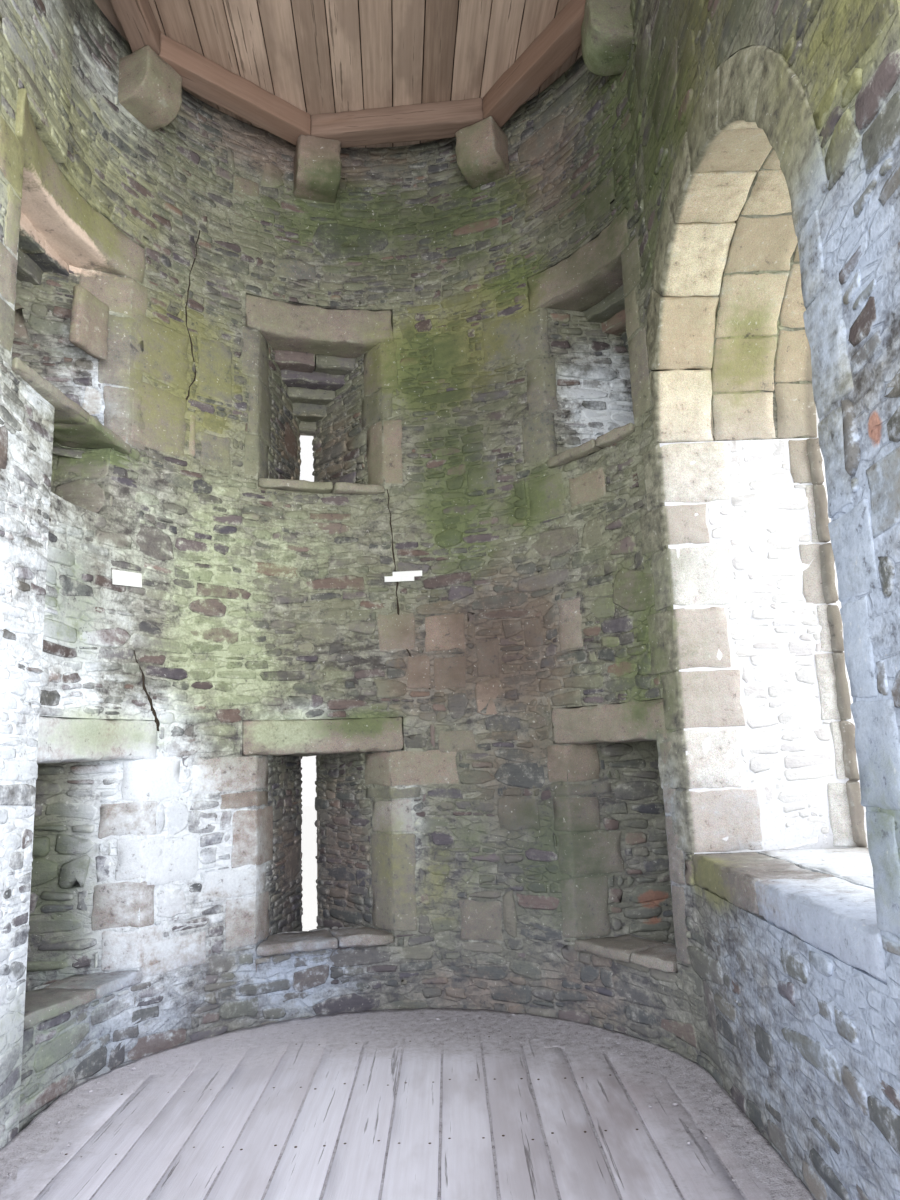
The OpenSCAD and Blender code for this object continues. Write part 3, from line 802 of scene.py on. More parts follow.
# Bluish grey stone, which also paints the pale glare of daylight on the right flank and at the left flank's
# foot
COOL_AND_GLARE = {
    "right_flank": (right_spot(-1.5, 1.3), (0.5, 1.5, 2.1), 1.0),
    "right_flank_blue": (right_spot(-1.9, 3.0), (0.3, 0.6, 0.6), 0.9),
    "left_foot": (wall_spot(-62, 0.3), (0.9, 0.9, 0.4), 0.7),
    "left_edge": (left_spot(-0.5, 0.6), (0.4, 1.5, 0.9), 0.6),
    "right_loop_cheek": (wall_spot(66, 1.1, 2.0), (0.5, 0.5, 0.8), 0.8),
    "mid_left": (wall_spot(-72, 3.7), (0.4, 0.4, 0.5), 0.5),
    "below_centre_sill": (wall_spot(-22, 0.28), (0.6, 0.5, 0.36), 0.75),
    "foot_right_flank": (right_spot(-0.4, 0.5), (0.4, 0.9, 0.6), 0.6),
}
SOFFIT = {
    "upper_left_lintel": (wall_spot(-84, 4.58, 1.8), (0.45, 0.66, 0.085), 1.5),
}
RUST = {
    "right_cheek": (wall_spot(49.8, 0.68, 2.1), (0.13, 0.15, 0.065), 1.1),
    "right_cheek_low": (wall_spot(49.9, 0.55, 2.11), (0.12, 0.14, 0.035), 0.9),
    "near_jamb": (right_spot(-1.87, 2.47), (0.06, 0.06, 0.07), 1.3),
}
BROWN = {
    "right_of_centre": (wall_spot(27, 2.3), (0.8, 0.6, 0.65), 0.9),
    "centre": (wall_spot(8, 2.2), (0.4, 0.4, 0.5), 0.7),
    "top_right": (wall_spot(46, 5.65), (0.55, 0.55, 0.5), 0.8),
    # Brown staining and painted shade: a band just under the beams also stands for the shade they cast on
    # the wall.
    "under_beams": (wall_spot(-25, 6.05), (1.3, 0.8, 0.3), 0.8),
    "foot": (wall_spot(18, 0.12), (0.7, 0.5, 0.25), 0.6),
    "low_right": (wall_spot(30, 1.5), (0.6, 0.5, 0.8), 0.45),
    "right_loop_cheek": (wall_spot(64, 0.85, 1.85), (0.35, 0.35, 0.4), 0.8),
    "right_foot": (wall_spot(45, 0.2), (0.6, 0.6, 0.3), 0.6),
    "centre_cheeks": (wall_spot(-16, 0.9, 2.1), (0.5, 0.5, 0.8), 0.8),
    "upper_centre_cheeks": (wall_spot(-16, 3.9, 2.1), (0.5, 0.5, 0.6), 0.6),
}
# Damp patches, which also paint shade on the round end wall, mostly on its right and near its top
DAMP_AND_SHADE = {
    "top": (wall_spot(5, 5.5), (1.3, 1.0, 0.8), 0.75),
    "centre": (wall_spot(22, 4.0), (0.8, 0.7, 1.2), 0.8),
    "brown": (wall_spot(24, 2.3), (0.9, 0.6, 0.7), 0.95),
    "under_centre_loop": (wall_spot(-12, 2.8), (0.5, 0.5, 0.7), 0.35),
    "jambs": (wall_spot(-16, 4.1), (0.7, 0.5, 0.6), 0.85),
    "right": (wall_spot(60, 4.9), (0.8, 0.8, 1.2), 0.9),
    "low_right": (wall_spot(36, 1.2), (0.8, 0.7, 1.1), 0.8),
    "window_side": (wall_spot(72, 2.4), (0.4, 0.5, 1.4), 0.4),
    "right_top": (right_spot(-1.0, 5.0), (0.4, 1.4, 0.9), 0.9),
    "left_blocks": (wall_spot(-50, 4.2), (0.6, 0.6, 0.7), 0.5),
    "left_cheek": (wall_spot(-68, 1.0, 2.0), (0.4, 0.45, 0.9), 0.6),
}
DUST = {"left": ((-1.0, MID_Y + 0.9, FLOOR), (1.2, 1.3, 0.6), 0.8)}
DAMP_FLOOR = {"right": ((1.25, MID_Y + 0.1, FLOOR), (0.8, 1.6, 0.3), 0.6)}
# Half axes of the part of the floor that people keep clean
TRODDEN_X, TRODDEN_Y = 1.45, 0.95
# What lies on the stones, with painted light and shade, from the first laid to the last: its places, the
# values at which it starts and is full, its strength, its dark and pale colour, and whether it runs on over
# stones that nothing grows on
Stain = namedtuple("Stain", "spots low high strength dark pale runs_on")
STAINS = (
    Stain(BROWN, 0.20, 0.95, 0.66, (84, 67, 57), (154, 131, 114), False),
    Stain(COOL_AND_GLARE, 0.10, 1.00, 0.78, (132, 146, 168), (206, 220, 242), True),
    Stain(LIME_AND_WINDOW_LIGHT, 0.05, 0.90, 0.90, (184, 191, 200), (244, 250, 255), True),
    Stain(BRIGHT_ALGAE, 0.15, 1.00, 0.72, (98, 112, 60), (202, 210, 180), False),
    Stain(OLIVE, 0.10, 0.90, 0.78, (86, 86, 34), (154, 153, 92), False),
    Stain(DARK_ALGAE, 0.10, 0.95, 0.80, (52, 65, 22), (110, 123, 64), False),
    Stain(SOFFIT, 0.45, 0.90, 0.90, (182, 160, 142), (236, 216, 198), False),
    Stain(RUST, 0.60, 1.00, 0.80, (116, 72, 46), (186, 128, 90), False),
)
Clouds = namedtuple("Clouds", "big streak mid fine broken")


def clouds(finish):
    """Noises that stones and mortar share, so that they weather together."""
    big = finish.noise(1.9, 4.0)
    streak = finish.stretched_noise(finish.place, (9.0, 9.0, 24.0), 5.0)
    mid = finish.noise(16.0, 5.0, roughness=0.68)
    fine = finish.noise(70.0, 3.0)
    patchy = finish.noise(4.5, 5.0, roughness=0.65)
    broken = big + patchy * 1.2 + streak * 0.7 + mid * 0.8 + fine * 0.3 - 2.0
    return Clouds(big, streak, mid, fine, broken)


def mortar_colour(finish, cloud):
    """Lime mortar, sandy and streaked."""
    value = cloud.streak * 0.8 + cloud.mid * 0.75 + cloud.fine * 0.35 + cloud.big * 0.4 - 0.65
    return finish.ramp(value, [
        (0.26, (82, 80, 72)), (0.42, (118, 116, 107)), (0.56, (144, 142, 134)), (0.76, (190, 190, 186)),
    ])


def weathered(finish, colour, cloud, light, own=0.0, film=0.62, limed=1.0, cooled=1.0):
    """Lays lime, algae, damp and stone dust over a colour, with painted light in the lime and cool patches
    and painted shade in the damp ones; light is where the surface stays paler.
    """
    broken = cloud.broken + own
    washed = cloud.broken + own * 0.35
    masks = [finish.patches(stain.spots) for stain in STAINS]
    # The cool and lime masks also carry painted glare and window light.
    brown, cool_and_glare, lime_and_light = masks[:3]
    bare = brown * 0.55 + cool_and_glare * 0.75 + lime_and_light * 0.35
    masks[1:3] = cool_and_glare * cooled, lime_and_light * limed
    cover = finish.within(broken + 0.20 - bare, -0.30, 0.45)
    green = finish.mix(light, (80, 83, 46), (150, 153, 120))
    low_down = 1.0 - finish.within(finish.along("Z"), FLOOR + 0.1, FLOOR + 2.3)
    colour = finish.mix(cover * film * (1.0 - low_down * 0.4), colour, green)
    for mask, stain in zip(masks, STAINS):
        tint = finish.mix(light, stain.dark, stain.pale)
        blotch = washed if stain.runs_on else broken
        shown = finish.within(mask + blotch * finish.within(mask, 0.0, 0.5), stain.low, stain.high)
        colour = finish.mix(shown * stain.strength, colour, tint)
    # Damp and painted shade together: these patches darken the round wall.
    damp = finish.within(finish.patches(DAMP_AND_SHADE) + broken * 0.8, 0.15, 1.1)
    colour = finish.mix(damp * 0.66, colour, (152, 146, 128), "MULTIPLY")
    specks = finish.within(finish.noise(46.0, 2.0), 0.66, 0.72) * finish.within(cloud.mid, 0.42, 0.58)
    colour = finish.mix(specks * 0.4, colour, (214, 214, 208))
    # Painted shade: small spots where the bumped surface lies lowest are darkened as the shade in pits.
    pit_shade = 1.0 - finish.within(cloud.mid * 0.7 + cloud.fine * 0.3, 0.33, 0.42)
    colour = finish.mix(pit_shade * 0.55, colour, (50, 45, 38))
    return finish.mix(low_down * 0.08 + 0.04, colour, (188, 198, 228))


def make_rubble_stone(name, bleached=0.0):
    """Schist slabs and some granite blocks in their mortar, under algae, lime and painted light and shade,
    or paled toward white by painted window glare.
    """
    finish = Finish(name)
    tone, hue, kind, rim = (finish.attribute(mark) for mark in MARKS)
    local = finish.attribute("local", "Vector")
    cloud = clouds(finish)
    leaf = finish.stretched_noise(local, (10.0, 40.0, 55.0), 4.0)
    grain = finish.noise(240.0, 2.0)
    schist = finish.ramp(hue, [
        (0.0, (108, 110, 97)), (0.24, (122, 122, 109)), (0.38, (132, 127, 112)), (0.52, (100, 98, 95)),
        (0.66, (146, 140, 126)), (0.80, (112, 104, 109)), (0.88, (116, 102, 94)), (0.96, (126, 104, 86)),
        (1.0, (92, 82, 76)),
    ])
    granite = finish.ramp(hue, [(0.0, (142, 134, 120)), (0.5, (156, 146, 134)), (1.0, (146, 128, 112))])
    granite = finish.mix(finish.within(grain, 0.50, 0.70) * 0.4, granite, (104, 94, 84))
    stone = finish.mix(kind, schist, granite)
    shade = tone * 0.6 + leaf * 0.35 + cloud.mid * 0.35 - 0.12
    shade = finish.ramp(shade, [(0.15, (146, 146, 148)), (0.85, (255, 255, 255))])
    stone = finish.mix(1.0, stone, shade, "MULTIPLY")
    mortar = mortar_colour(finish, cloud)
    smear = finish.within(rim * 0.34 + cloud.mid * 1.2 + cloud.streak * 0.6 - 0.78, 0.20, 0.55)
    colour = finish.mix(smear * 0.7, stone, mortar)
    # Painted shade in open joints: where the mortar is washed out in patches, the rims of the stones are
    # darkened as the shade in the joint.
    open_joint_shade = finish.within(cloud.big * 0.7 + cloud.streak * 0.6, 0.60, 0.74)
    colour = finish.mix(finish.within(rim, 0.6, 1.0) * open_joint_shade * 0.75, colour, (56, 50, 43))
    light = (smear * 0.5 + cloud.fine * 0.5 + tone * 0.25 + leaf * 0.35 - 0.25).clamp()
    own = (tone - 0.5) * 0.6 - finish.within(hue, 0.80, 0.86) * (0.45 - smear * 0.3)
    limed = finish.within(tone, 0.1, 0.7, 0.6, 1.15)
    cooled = smear * 0.5 + tone * 0.3 + 0.24
    # Painted window glare pales these stones toward white and thins their algae film.
    colour = weathered(finish, colour, cloud, light, own, 0.62 - 0.5 * bleached, limed, cooled)
    colour = finish.mix(bleached, colour, (246, 246, 248))
    height = leaf * 0.7 * (1.0 - smear) + cloud.mid * 0.9 + cloud.fine * 0.5 + grain * 0.15
    return finish.finish(colour, 0.94, height, 0.007)


def make_mortar():
    """Lime mortar and hearting between the stones."""
    finish = Finish("lime_mortar")
    cloud = clouds(finish)
    colour = mortar_colour(finish, cloud)
    lying = finish.vector("MULTIPLY", finish.place, (7.0, 7.0, 19.0))
    hearting = finish.cells(1.0, lying, output="Color")
    hearting = finish.ramp(hearting, [(0.2, (168, 162, 152)), (0.8, (255, 255, 255))])
    colour = finish.mix(0.8, colour, hearting, "MULTIPLY")
    seams = 1.0 - finish.within(finish.cells(1.0, lying, "DISTANCE_TO_EDGE"), 0.02, 0.10)
    seams = seams * finish.within(cloud.mid, 0.40, 0.60)
    # Painted shade: dark blotches stand for the shade in voids of the mortar; the seams are dark joints
    # between hearting stones.
    gap_shade = 1.0 - finish.within(cloud.big * 0.5 + cloud.streak * 0.9, 0.52, 0.64)
    colour = finish.mix((gap_shade * 0.7 + seams * 0.45).clamp(), colour, (64, 57, 49))
    light = (cloud.fine * 0.6 + cloud.mid * 0.8 - 0.05 - seams * 0.3).clamp()
    colour = weathered(finish, colour, cloud, light)
    return finish.finish(colour, 0.96, cloud.mid * 1.1 + cloud.fine * 0.5 - seams * 0.6, 0.008)


def make_dressed_granite(name, in_window=False):
    """Coarse granite of the lintels, quoins and arch stones; kind is 0 where no algae grow."""
    finish = Finish(name)
    tone, hue, kind, rim = (finish.attribute(mark) for mark in MARKS)
    cloud = clouds(finish)
    grain = finish.noise(200.0, 2.5)
    crystals = finish.cells(300.0, output="Color")
    colour = finish.ramp(tone + cloud.mid * 0.75 + cloud.big * 0.4 + cloud.streak * 0.3 - 0.72, [
        (0.0, (98, 98, 90)), (0.25, (124, 117, 106)), (0.5, (148, 137, 126)), (0.75, (174, 167, 161)),
        (1.0, (228, 228, 226)),
    ])
    colour = finish.mix((hue - 0.5).clamp() * 0.6, colour, (164, 130, 106))
    colour = finish.mix(finish.within(grain, 0.46, 0.62) * 0.5, colour, (92, 84, 74))
    colour = finish.mix(0.14, colour, crystals, "OVERLAY")
    if in_window:
        warm = finish.within(finish.along("Z"), SPRING - 0.5, SPRING + 0.6)
        colour = finish.mix(0.20, colour, (240, 240, 234))
        colour = finish.mix(warm * 0.75, colour, (255, 243, 200), "MULTIPLY")
        face = 1.0 - finish.within(finish.along("X"), RIGHT_FACE + 0.004, RIGHT_FACE + 0.03)
        grime = finish.ramp(cloud.mid * 0.7 + cloud.streak * 0.4, [
            (0.40, (62, 62, 46)), (0.52, (104, 104, 82)), (0.68, (160, 158, 136)),
        ])
        colour = finish.mix(face * 0.85, colour, grime)
        # Painted shade: a dark band near the outer face stands for the shaded room-facing side of the outer
        # nib.
        nib_shade = finish.within(finish.along("X"), OUTER_R - 0.11, OUTER_R - 0.06)
        colour = finish.mix(nib_shade * 0.8, colour, (112, 102, 88))
    mortar = mortar_colour(finish, cloud)
    smear = finish.within(rim * 0.22 + cloud.mid * 1.2 + cloud.streak * 0.9 - 0.9, 0.30, 0.55)
    colour = finish.mix(smear * 0.5, colour, mortar)
    light = (cloud.fine * 0.6 + grain * 0.5 + cloud.mid * 0.5 - 0.3).clamp()
    clean, film = (1.15, 0.25) if in_window else (1.04, 0.68)
    limed = finish.within(tone, 0.46, 0.80, 0.4, 1.25)
    cooled = finish.within(tone, 0.2, 0.6, 0.55, 1.1)
    colour = weathered(finish, colour, cloud, light, kind - clean, film, limed, cooled)
    return finish.finish(colour, 0.92, grain * 0.35 + cloud.mid * 0.9 + cloud.fine * 0.3, 0.006)


def dirt_colour(finish):
    """Fine dirt, grit and leaf mould: its colour and its clods."""
    clod = finish.noise(24.0, 5.0)
    crumb = finish.noise(120.0, 3.0)
    colour = finish.ramp(clod * 0.6 + crumb * 0.5 - 0.05, [
        (0.28, (104, 99, 102)), (0.46, (178, 175, 184)), (0.60, (196, 194, 204)), (0.8, (240, 240, 248)),
    ])
    colour = finish.mix(finish.patches(DUST) * 0.7, colour, (236, 234, 246))
    return colour, clod + crumb * 0.8


def make_timber(name, pale, deep, stain, stain_share, dirty=False):
    """Sawn oak: grain along each board, its own tone, checks, stains, and dirt by the walls where dirty."""
    finish = Finish(name)
    tone, hue = finish.attribute("tone"), finish.attribute("hue")
    shift = finish.out("ShaderNodeCombineXYZ", "Vector", X=tone * 31.0, Y=hue * 17.0, Z=tone * 7.0)
    own = finish.vector("ADD", finish.attribute("local", "Vector"), shift)
    grain = finish.stretched_noise(own, (1.3, 38.0, 38.0), 5.0)
    fibre = finish.stretched_noise(own, (8.0, 380.0, 380.0), 3.0)
    blotch = finish.stretched_noise(own, (1.68, 5.28, 5.28), 4.0)
    value = grain * 0.8 + tone * 0.5 + blotch * 0.45 + fibre * 0.15 - 0.45
    colour = finish.ramp(value, [(0.1, deep), (0.8, pale)])
    spread = finish.within(blotch + hue * 0.25, 0.55, 0.80)
    colour = finish.mix(spread * stain_share, colour, stain)
    checks = finish.within(grain, 0.63, 0.67) * finish.within(fibre, 0.42, 0.55)
    colour = finish.mix(checks * 0.55, colour, (70, 56, 46))
    if dirty:
        damp = finish.patches(DAMP_FLOOR) * finish.within(blotch, 0.1, 0.7)
        colour = finish.mix(damp, colour, (176, 158, 154), "MULTIPLY")
        aside = finish.along("X") * (1 / TRODDEN_X)
        ahead = (finish.along("Y") - MID_Y).math("MAXIMUM", 0.0) * (1 / TRODDEN_Y)
        reach = (aside * aside + ahead * ahead).math("SQRT")
        trodden = reach + finish.noise(5.0, 5.0) * 0.7 + finish.noise(60.0, 3.0) * 0.35 - 0.52
        colour = finish.mix(finish.within(trodden, 0.72, 1.12) * 0.9, colour, dirt_colour(finish)[0])
    return finish.finish(colour, 0.82, grain * 0.8 + fibre * 0.5 - checks * 1.2, 0.0022)


def make_dirt(name):
    """Dirt that lies in a heap or in a gap."""
    finish = Finish(name)
    colour, clods = dirt_colour(finish)
    return finish.finish(colour, 0.97, clods, 0.010)


def make_plain(name, colour, roughness, speck=0.15):
    """A small plain finish with faint dirt."""
    finish = Finish(name)
    dirt = finish.noise(60.0, 3.0)
    clean = look_colour(*colour)
    dark = (*(channel * 0.55 for channel in clean[:3]), 1.0)
    mixed = finish.mix(finish.within(dirt, 0.5, 0.8) * speck, clean, dark)
    return finish.finish(mixed, roughness, dirt, 0.0006)


# Dressed blocks set in the round wall one by one: bearing of the left side in degrees, height of the
# bottom above the floor, width, height, tone and hue
WALL_BLOCKS = [
    (-63.8, 4.00, 0.44, 0.40, 0.28, 0.4), (-63.8, 3.53, 0.43, 0.43, 0.34, 0.6),
    (-48.6, 3.56, 0.06, 0.30, 0.62, 1.0), (-46.3, 1.40, 0.21, 0.21, 0.85, 0.5),
    (-56.9, 0.91, 0.37, 0.26, 0.90, 0.4), (-57.0, 0.42, 0.43, 0.20, 0.72, 0.6),
    (3.6, 2.04, 0.17, 0.24, 0.34, 0.8), (8.0, 2.29, 0.30, 0.26, 0.42, 1.0),
    (-3.2, 2.31, 0.27, 0.27, 0.34, 0.7), (9.9, 2.03, 0.24, 0.23, 0.24, 0.8),
    (20.3, 2.10, 0.18, 0.25, 0.26, 0.5), (32.6, 2.26, 0.15, 0.20, 0.05, 0.3),
    (41.5, 2.22, 0.20, 0.33, 0.46, 0.5), (10.5, 1.61, 0.27, 0.16, 0.30, 0.6),
    (25.5, 4.30, 0.36, 0.33, 0.16, 0.4), (12.4, 4.35, 0.27, 0.26, 0.14, 0.4),
    (35.5, 3.10, 0.30, 0.30, 0.20, 0.5), (46.6, 3.12, 0.32, 0.22, 0.52, 0.9),
    (-27.0, 5.05, 0.30, 0.16, 0.10, 0.4), (57.5, 4.98, 0.30, 0.20, 0.22, 0.5),
    (-38.0, 5.62, 0.20, 0.14, 0.10, 0.9), (-46.5, 4.00, 0.26, 0.44, 0.16, 0.3),
    (-46.0, 3.52, 0.24, 0.24, 0.18, 0.3), (24.0, 1.10, 0.30, 0.22, 0.16, 0.4),
    (14.0, 0.42, 0.30, 0.26, 0.20, 0.7), (20.0, 3.40, 0.22, 0.18, 0.08, 0.3),
    (-80.0, 3.96, 0.28, 0.36, 0.22, 0.9),
]
# Jamb stones of the loops from the sill up: height, width on the wall, depth on the cheek, tone
JAMBS = {
    ("lower_left", 1): [(0.22, 0.16, 0.20, 0.66), (0.26, 0.10, 0.26, 0.50), (0.24, 0.16, 0.14, 0.62),
                        (0.20, 0.10, 0.24, 0.52), (0.24, 0.26, 0.12, 0.90)],
    ("lower_centre", -1): [(0.30, 0.20, 0.22, 0.62), (0.17, 0.34, 0.16, 0.66), (0.36, 0.16, 0.30, 0.52),
                           (0.11, 0.24, 0.2, 0.3), (0.22, 0.40, 0.2, 0.66)],
    ("lower_centre", 1): [(0.62, 0.15, 0.24, 0.34), (0.22, 0.14, 0.22, 0.66), (0.08, 0.2, 0.3, 0.12),
                          (0.24, 0.46, 0.30, 0.54)],
    ("lower_right", -1): [(0.36, 0.10, 0.22, 0.28), (0.26, 0.10, 0.34, 0.36), (0.22, 0.12, 0.20, 0.22),
                          (0.08, 0.1, 0.3, 0.2), (0.24, 0.14, 0.22, 0.44)],
    ("lower_right", 1): [(0.40, 0.12, 0.3, 0.26), (0.36, 0.14, 0.2, 0.3), (0.40, 0.12, 0.3, 0.4)],
    ("upper_left", 1): [(0.36, 0.14, 0.14, 0.3), (0.46, 0.10, 0.18, 0.2), (0.26, 0.12, 0.30, 0.36)],
    ("upper_centre", -1): [(0.32, 0.10, 0.2, 0.10), (0.42, 0.07, 0.24, 0.18), (0.36, 0.12, 0.2, 0.12)],
    ("upper_centre", 1): [(0.50, 0.14, 0.2, 0.34), (0.24, 0.08, 0.26, 0.15), (0.36, 0.12, 0.22, 0.14)],
    ("upper_right", -1): [(0.34, 0.2, 0.06, 0.14), (0.40, 0.14, 0.09, 0.18), (0.36, 0.22, 0.06, 0.16)],
    ("upper_right", 1): [(0.52, 0.2, 0.24, 0.3), (0.28, 0.14, 0.3, 0.3), (0.3, 0.2, 0.2, 0.3)],
}
# Cheeks of the loops: height of a stone, how far the stones stand out, joint
EVEN_CHEEK = (0.064, 0.007, 0.005)
CHEEKS = {("lower_left", 1): (0.13, 0.020, 0.013), ("lower_right", -1): (0.10, 0.012, 0.010),
          ("upper_right", -1): (0.075, 0.010, 0.008)}
LINTEL_TONES = {"lower_left": 0.66, "lower_centre": 0.44, "lower_right": 0.52, "upper_left": 0.50,
                "upper_centre": 0.36, "upper_right": 0.40}
# Arch stones of the window: nearer and farther end through the wall, thickness, least and most length, tone
ARCH_RINGS = (
    (RIGHT_FACE - DRESSED_PROUD, RIGHT_FACE + RING_D - 0.003, RING_W, 0.30, 0.42, 0.66),
    (RIGHT_FACE + RING_D, OUTER_R - 0.26, 0.05, 0.24, 0.38, 0.62),
    (OUTER_R - 0.257, OUTER_R + DRESSED_PROUD, RING_W, 0.25, 0.34, 0.5),
)
# Open cracks down the round wall: half the width at the foot, then bearing in degrees and height above
# the floor from the top down
CRACKS = [
    (0.006, [(-46.6, 5.20), (-50.1, 4.57), (-47.2, 4.17), (-50.8, 3.79)]),
    (0.014, [(-61.1, 2.27), (-56.5, 1.98), (-54.4, 1.80)]),
    (0.008, [(0.3, 3.47), (2.1, 2.67), (3.4, 2.32), (9.1, 2.04)]),
]


def crack_lines():
    """The cracks as jagged lines along the round wall's face, with half their widths."""
    lines = []
    steps = 24
    for number, (foot, corners) in enumerate(CRACKS):
        ends = np.array([(round_u(degrees), FLOOR + above) for degrees, above in corners])
        heights = np.linspace(ends[0, 1], ends[-1, 1], steps)
        along = np.interp(heights[::-1], ends[::-1, 1], ends[::-1, 0])[::-1]
        jag = 0.014 * waves(np.stack([heights, 0 * heights], -1), 0.12, 300 + number)
        wide = np.linspace(0.003, foot, steps) * (1 + 0.4 * np.sin(np.arange(steps) * 1.9))
        lines.append(np.stack([along + jag, heights, wide], -1))
    return lines


def splay(loop, side):
    """Plan points of one side of a loop, -1 for its left and 1 for its right: room face, throat, outside."""
    out, right = across(math.radians(loop.angle))
    slit = right * side * SLIT_W / 2
    return [out * face_of(loop.width) + right * side * loop.width / 2,
            out * (OUTER_R - THROAT) + slit, out * math.sqrt(OUTER_R**2 - SLIT_W**2 / 4) + slit]


def cheek(loop, side):
    """Face over one side of a loop."""
    return Face(splay(loop, side)[::-side])


def quoin_place(loop, side):
    """Lays a block round the corner of the room face and a loop's splay."""
    corner, throat, _ = splay(loop, side)
    way = (throat - corner) / np.linalg.norm(throat - corner)
    start = math.atan2(corner[0], corner[1])

    def place(a, b, c):
        bearing = start + side * a / ROOM_R
        x = ROOM_R * np.sin(bearing) + way[0] * b
        y = ROOM_R * np.cos(bearing) + way[1] * b
        on_left = (side < 0) & (bearing < -QUARTER)
        x = np.where(on_left, LEFT_FACE + way[0] * b, x)
        y = np.where(on_left, corner[1] - a + way[1] * b, y)
        return plain(x, y, c)

    return place, start


def stone_place(face):
    """Lays a block on a face with its second coordinate running into the wall."""
    return lambda a, b, c: face(a, -b, c)


def radial_place(bearing, middle=(0.0, 0.0)):
    """Lays a block in the frame of a bearing: to the right, outward and up."""
    out, right = across(bearing)

    def place(a, b, c):
        x, y = (middle[i] + right[i] * a + out[i] * b for i in (0, 1))
        return plain(x, y, c)

    return place


def outer_bent(a, b, c):
    """Blocks at the window's outer edges follow the round outside."""
    inset = OUTER_R - np.sqrt(OUTER_R**2 - np.clip(b, 0, ROOM_R) ** 2)
    share = np.clip((a - OUTER_R + 0.2) / 0.2, 0, 1)
    return plain(a - inset * share, b, c)


def inner_bent(a, b, c):
    """Blocks at the window's far side follow the wall round its bend."""
    kink_y = ROOM_R * math.cos(KINK)
    past = np.maximum(b - kink_y, 0)
    inset = RIGHT_FACE - np.sqrt(np.maximum(ROOM_R**2 - (kink_y + past) ** 2, 0))
    share = np.clip((RIGHT_FACE + 0.1 - a) / 0.1, 0, 1)
    return plain(a - inset * share, b, c)


def left_corner_u(loop):
    """Distance along the left inside face of a loop's near corner."""
    corner = polar(ROOM_R, math.radians(loop.angle) - math.asin(loop.width / 2 / ROOM_R))
    return corner[1] - FRONT


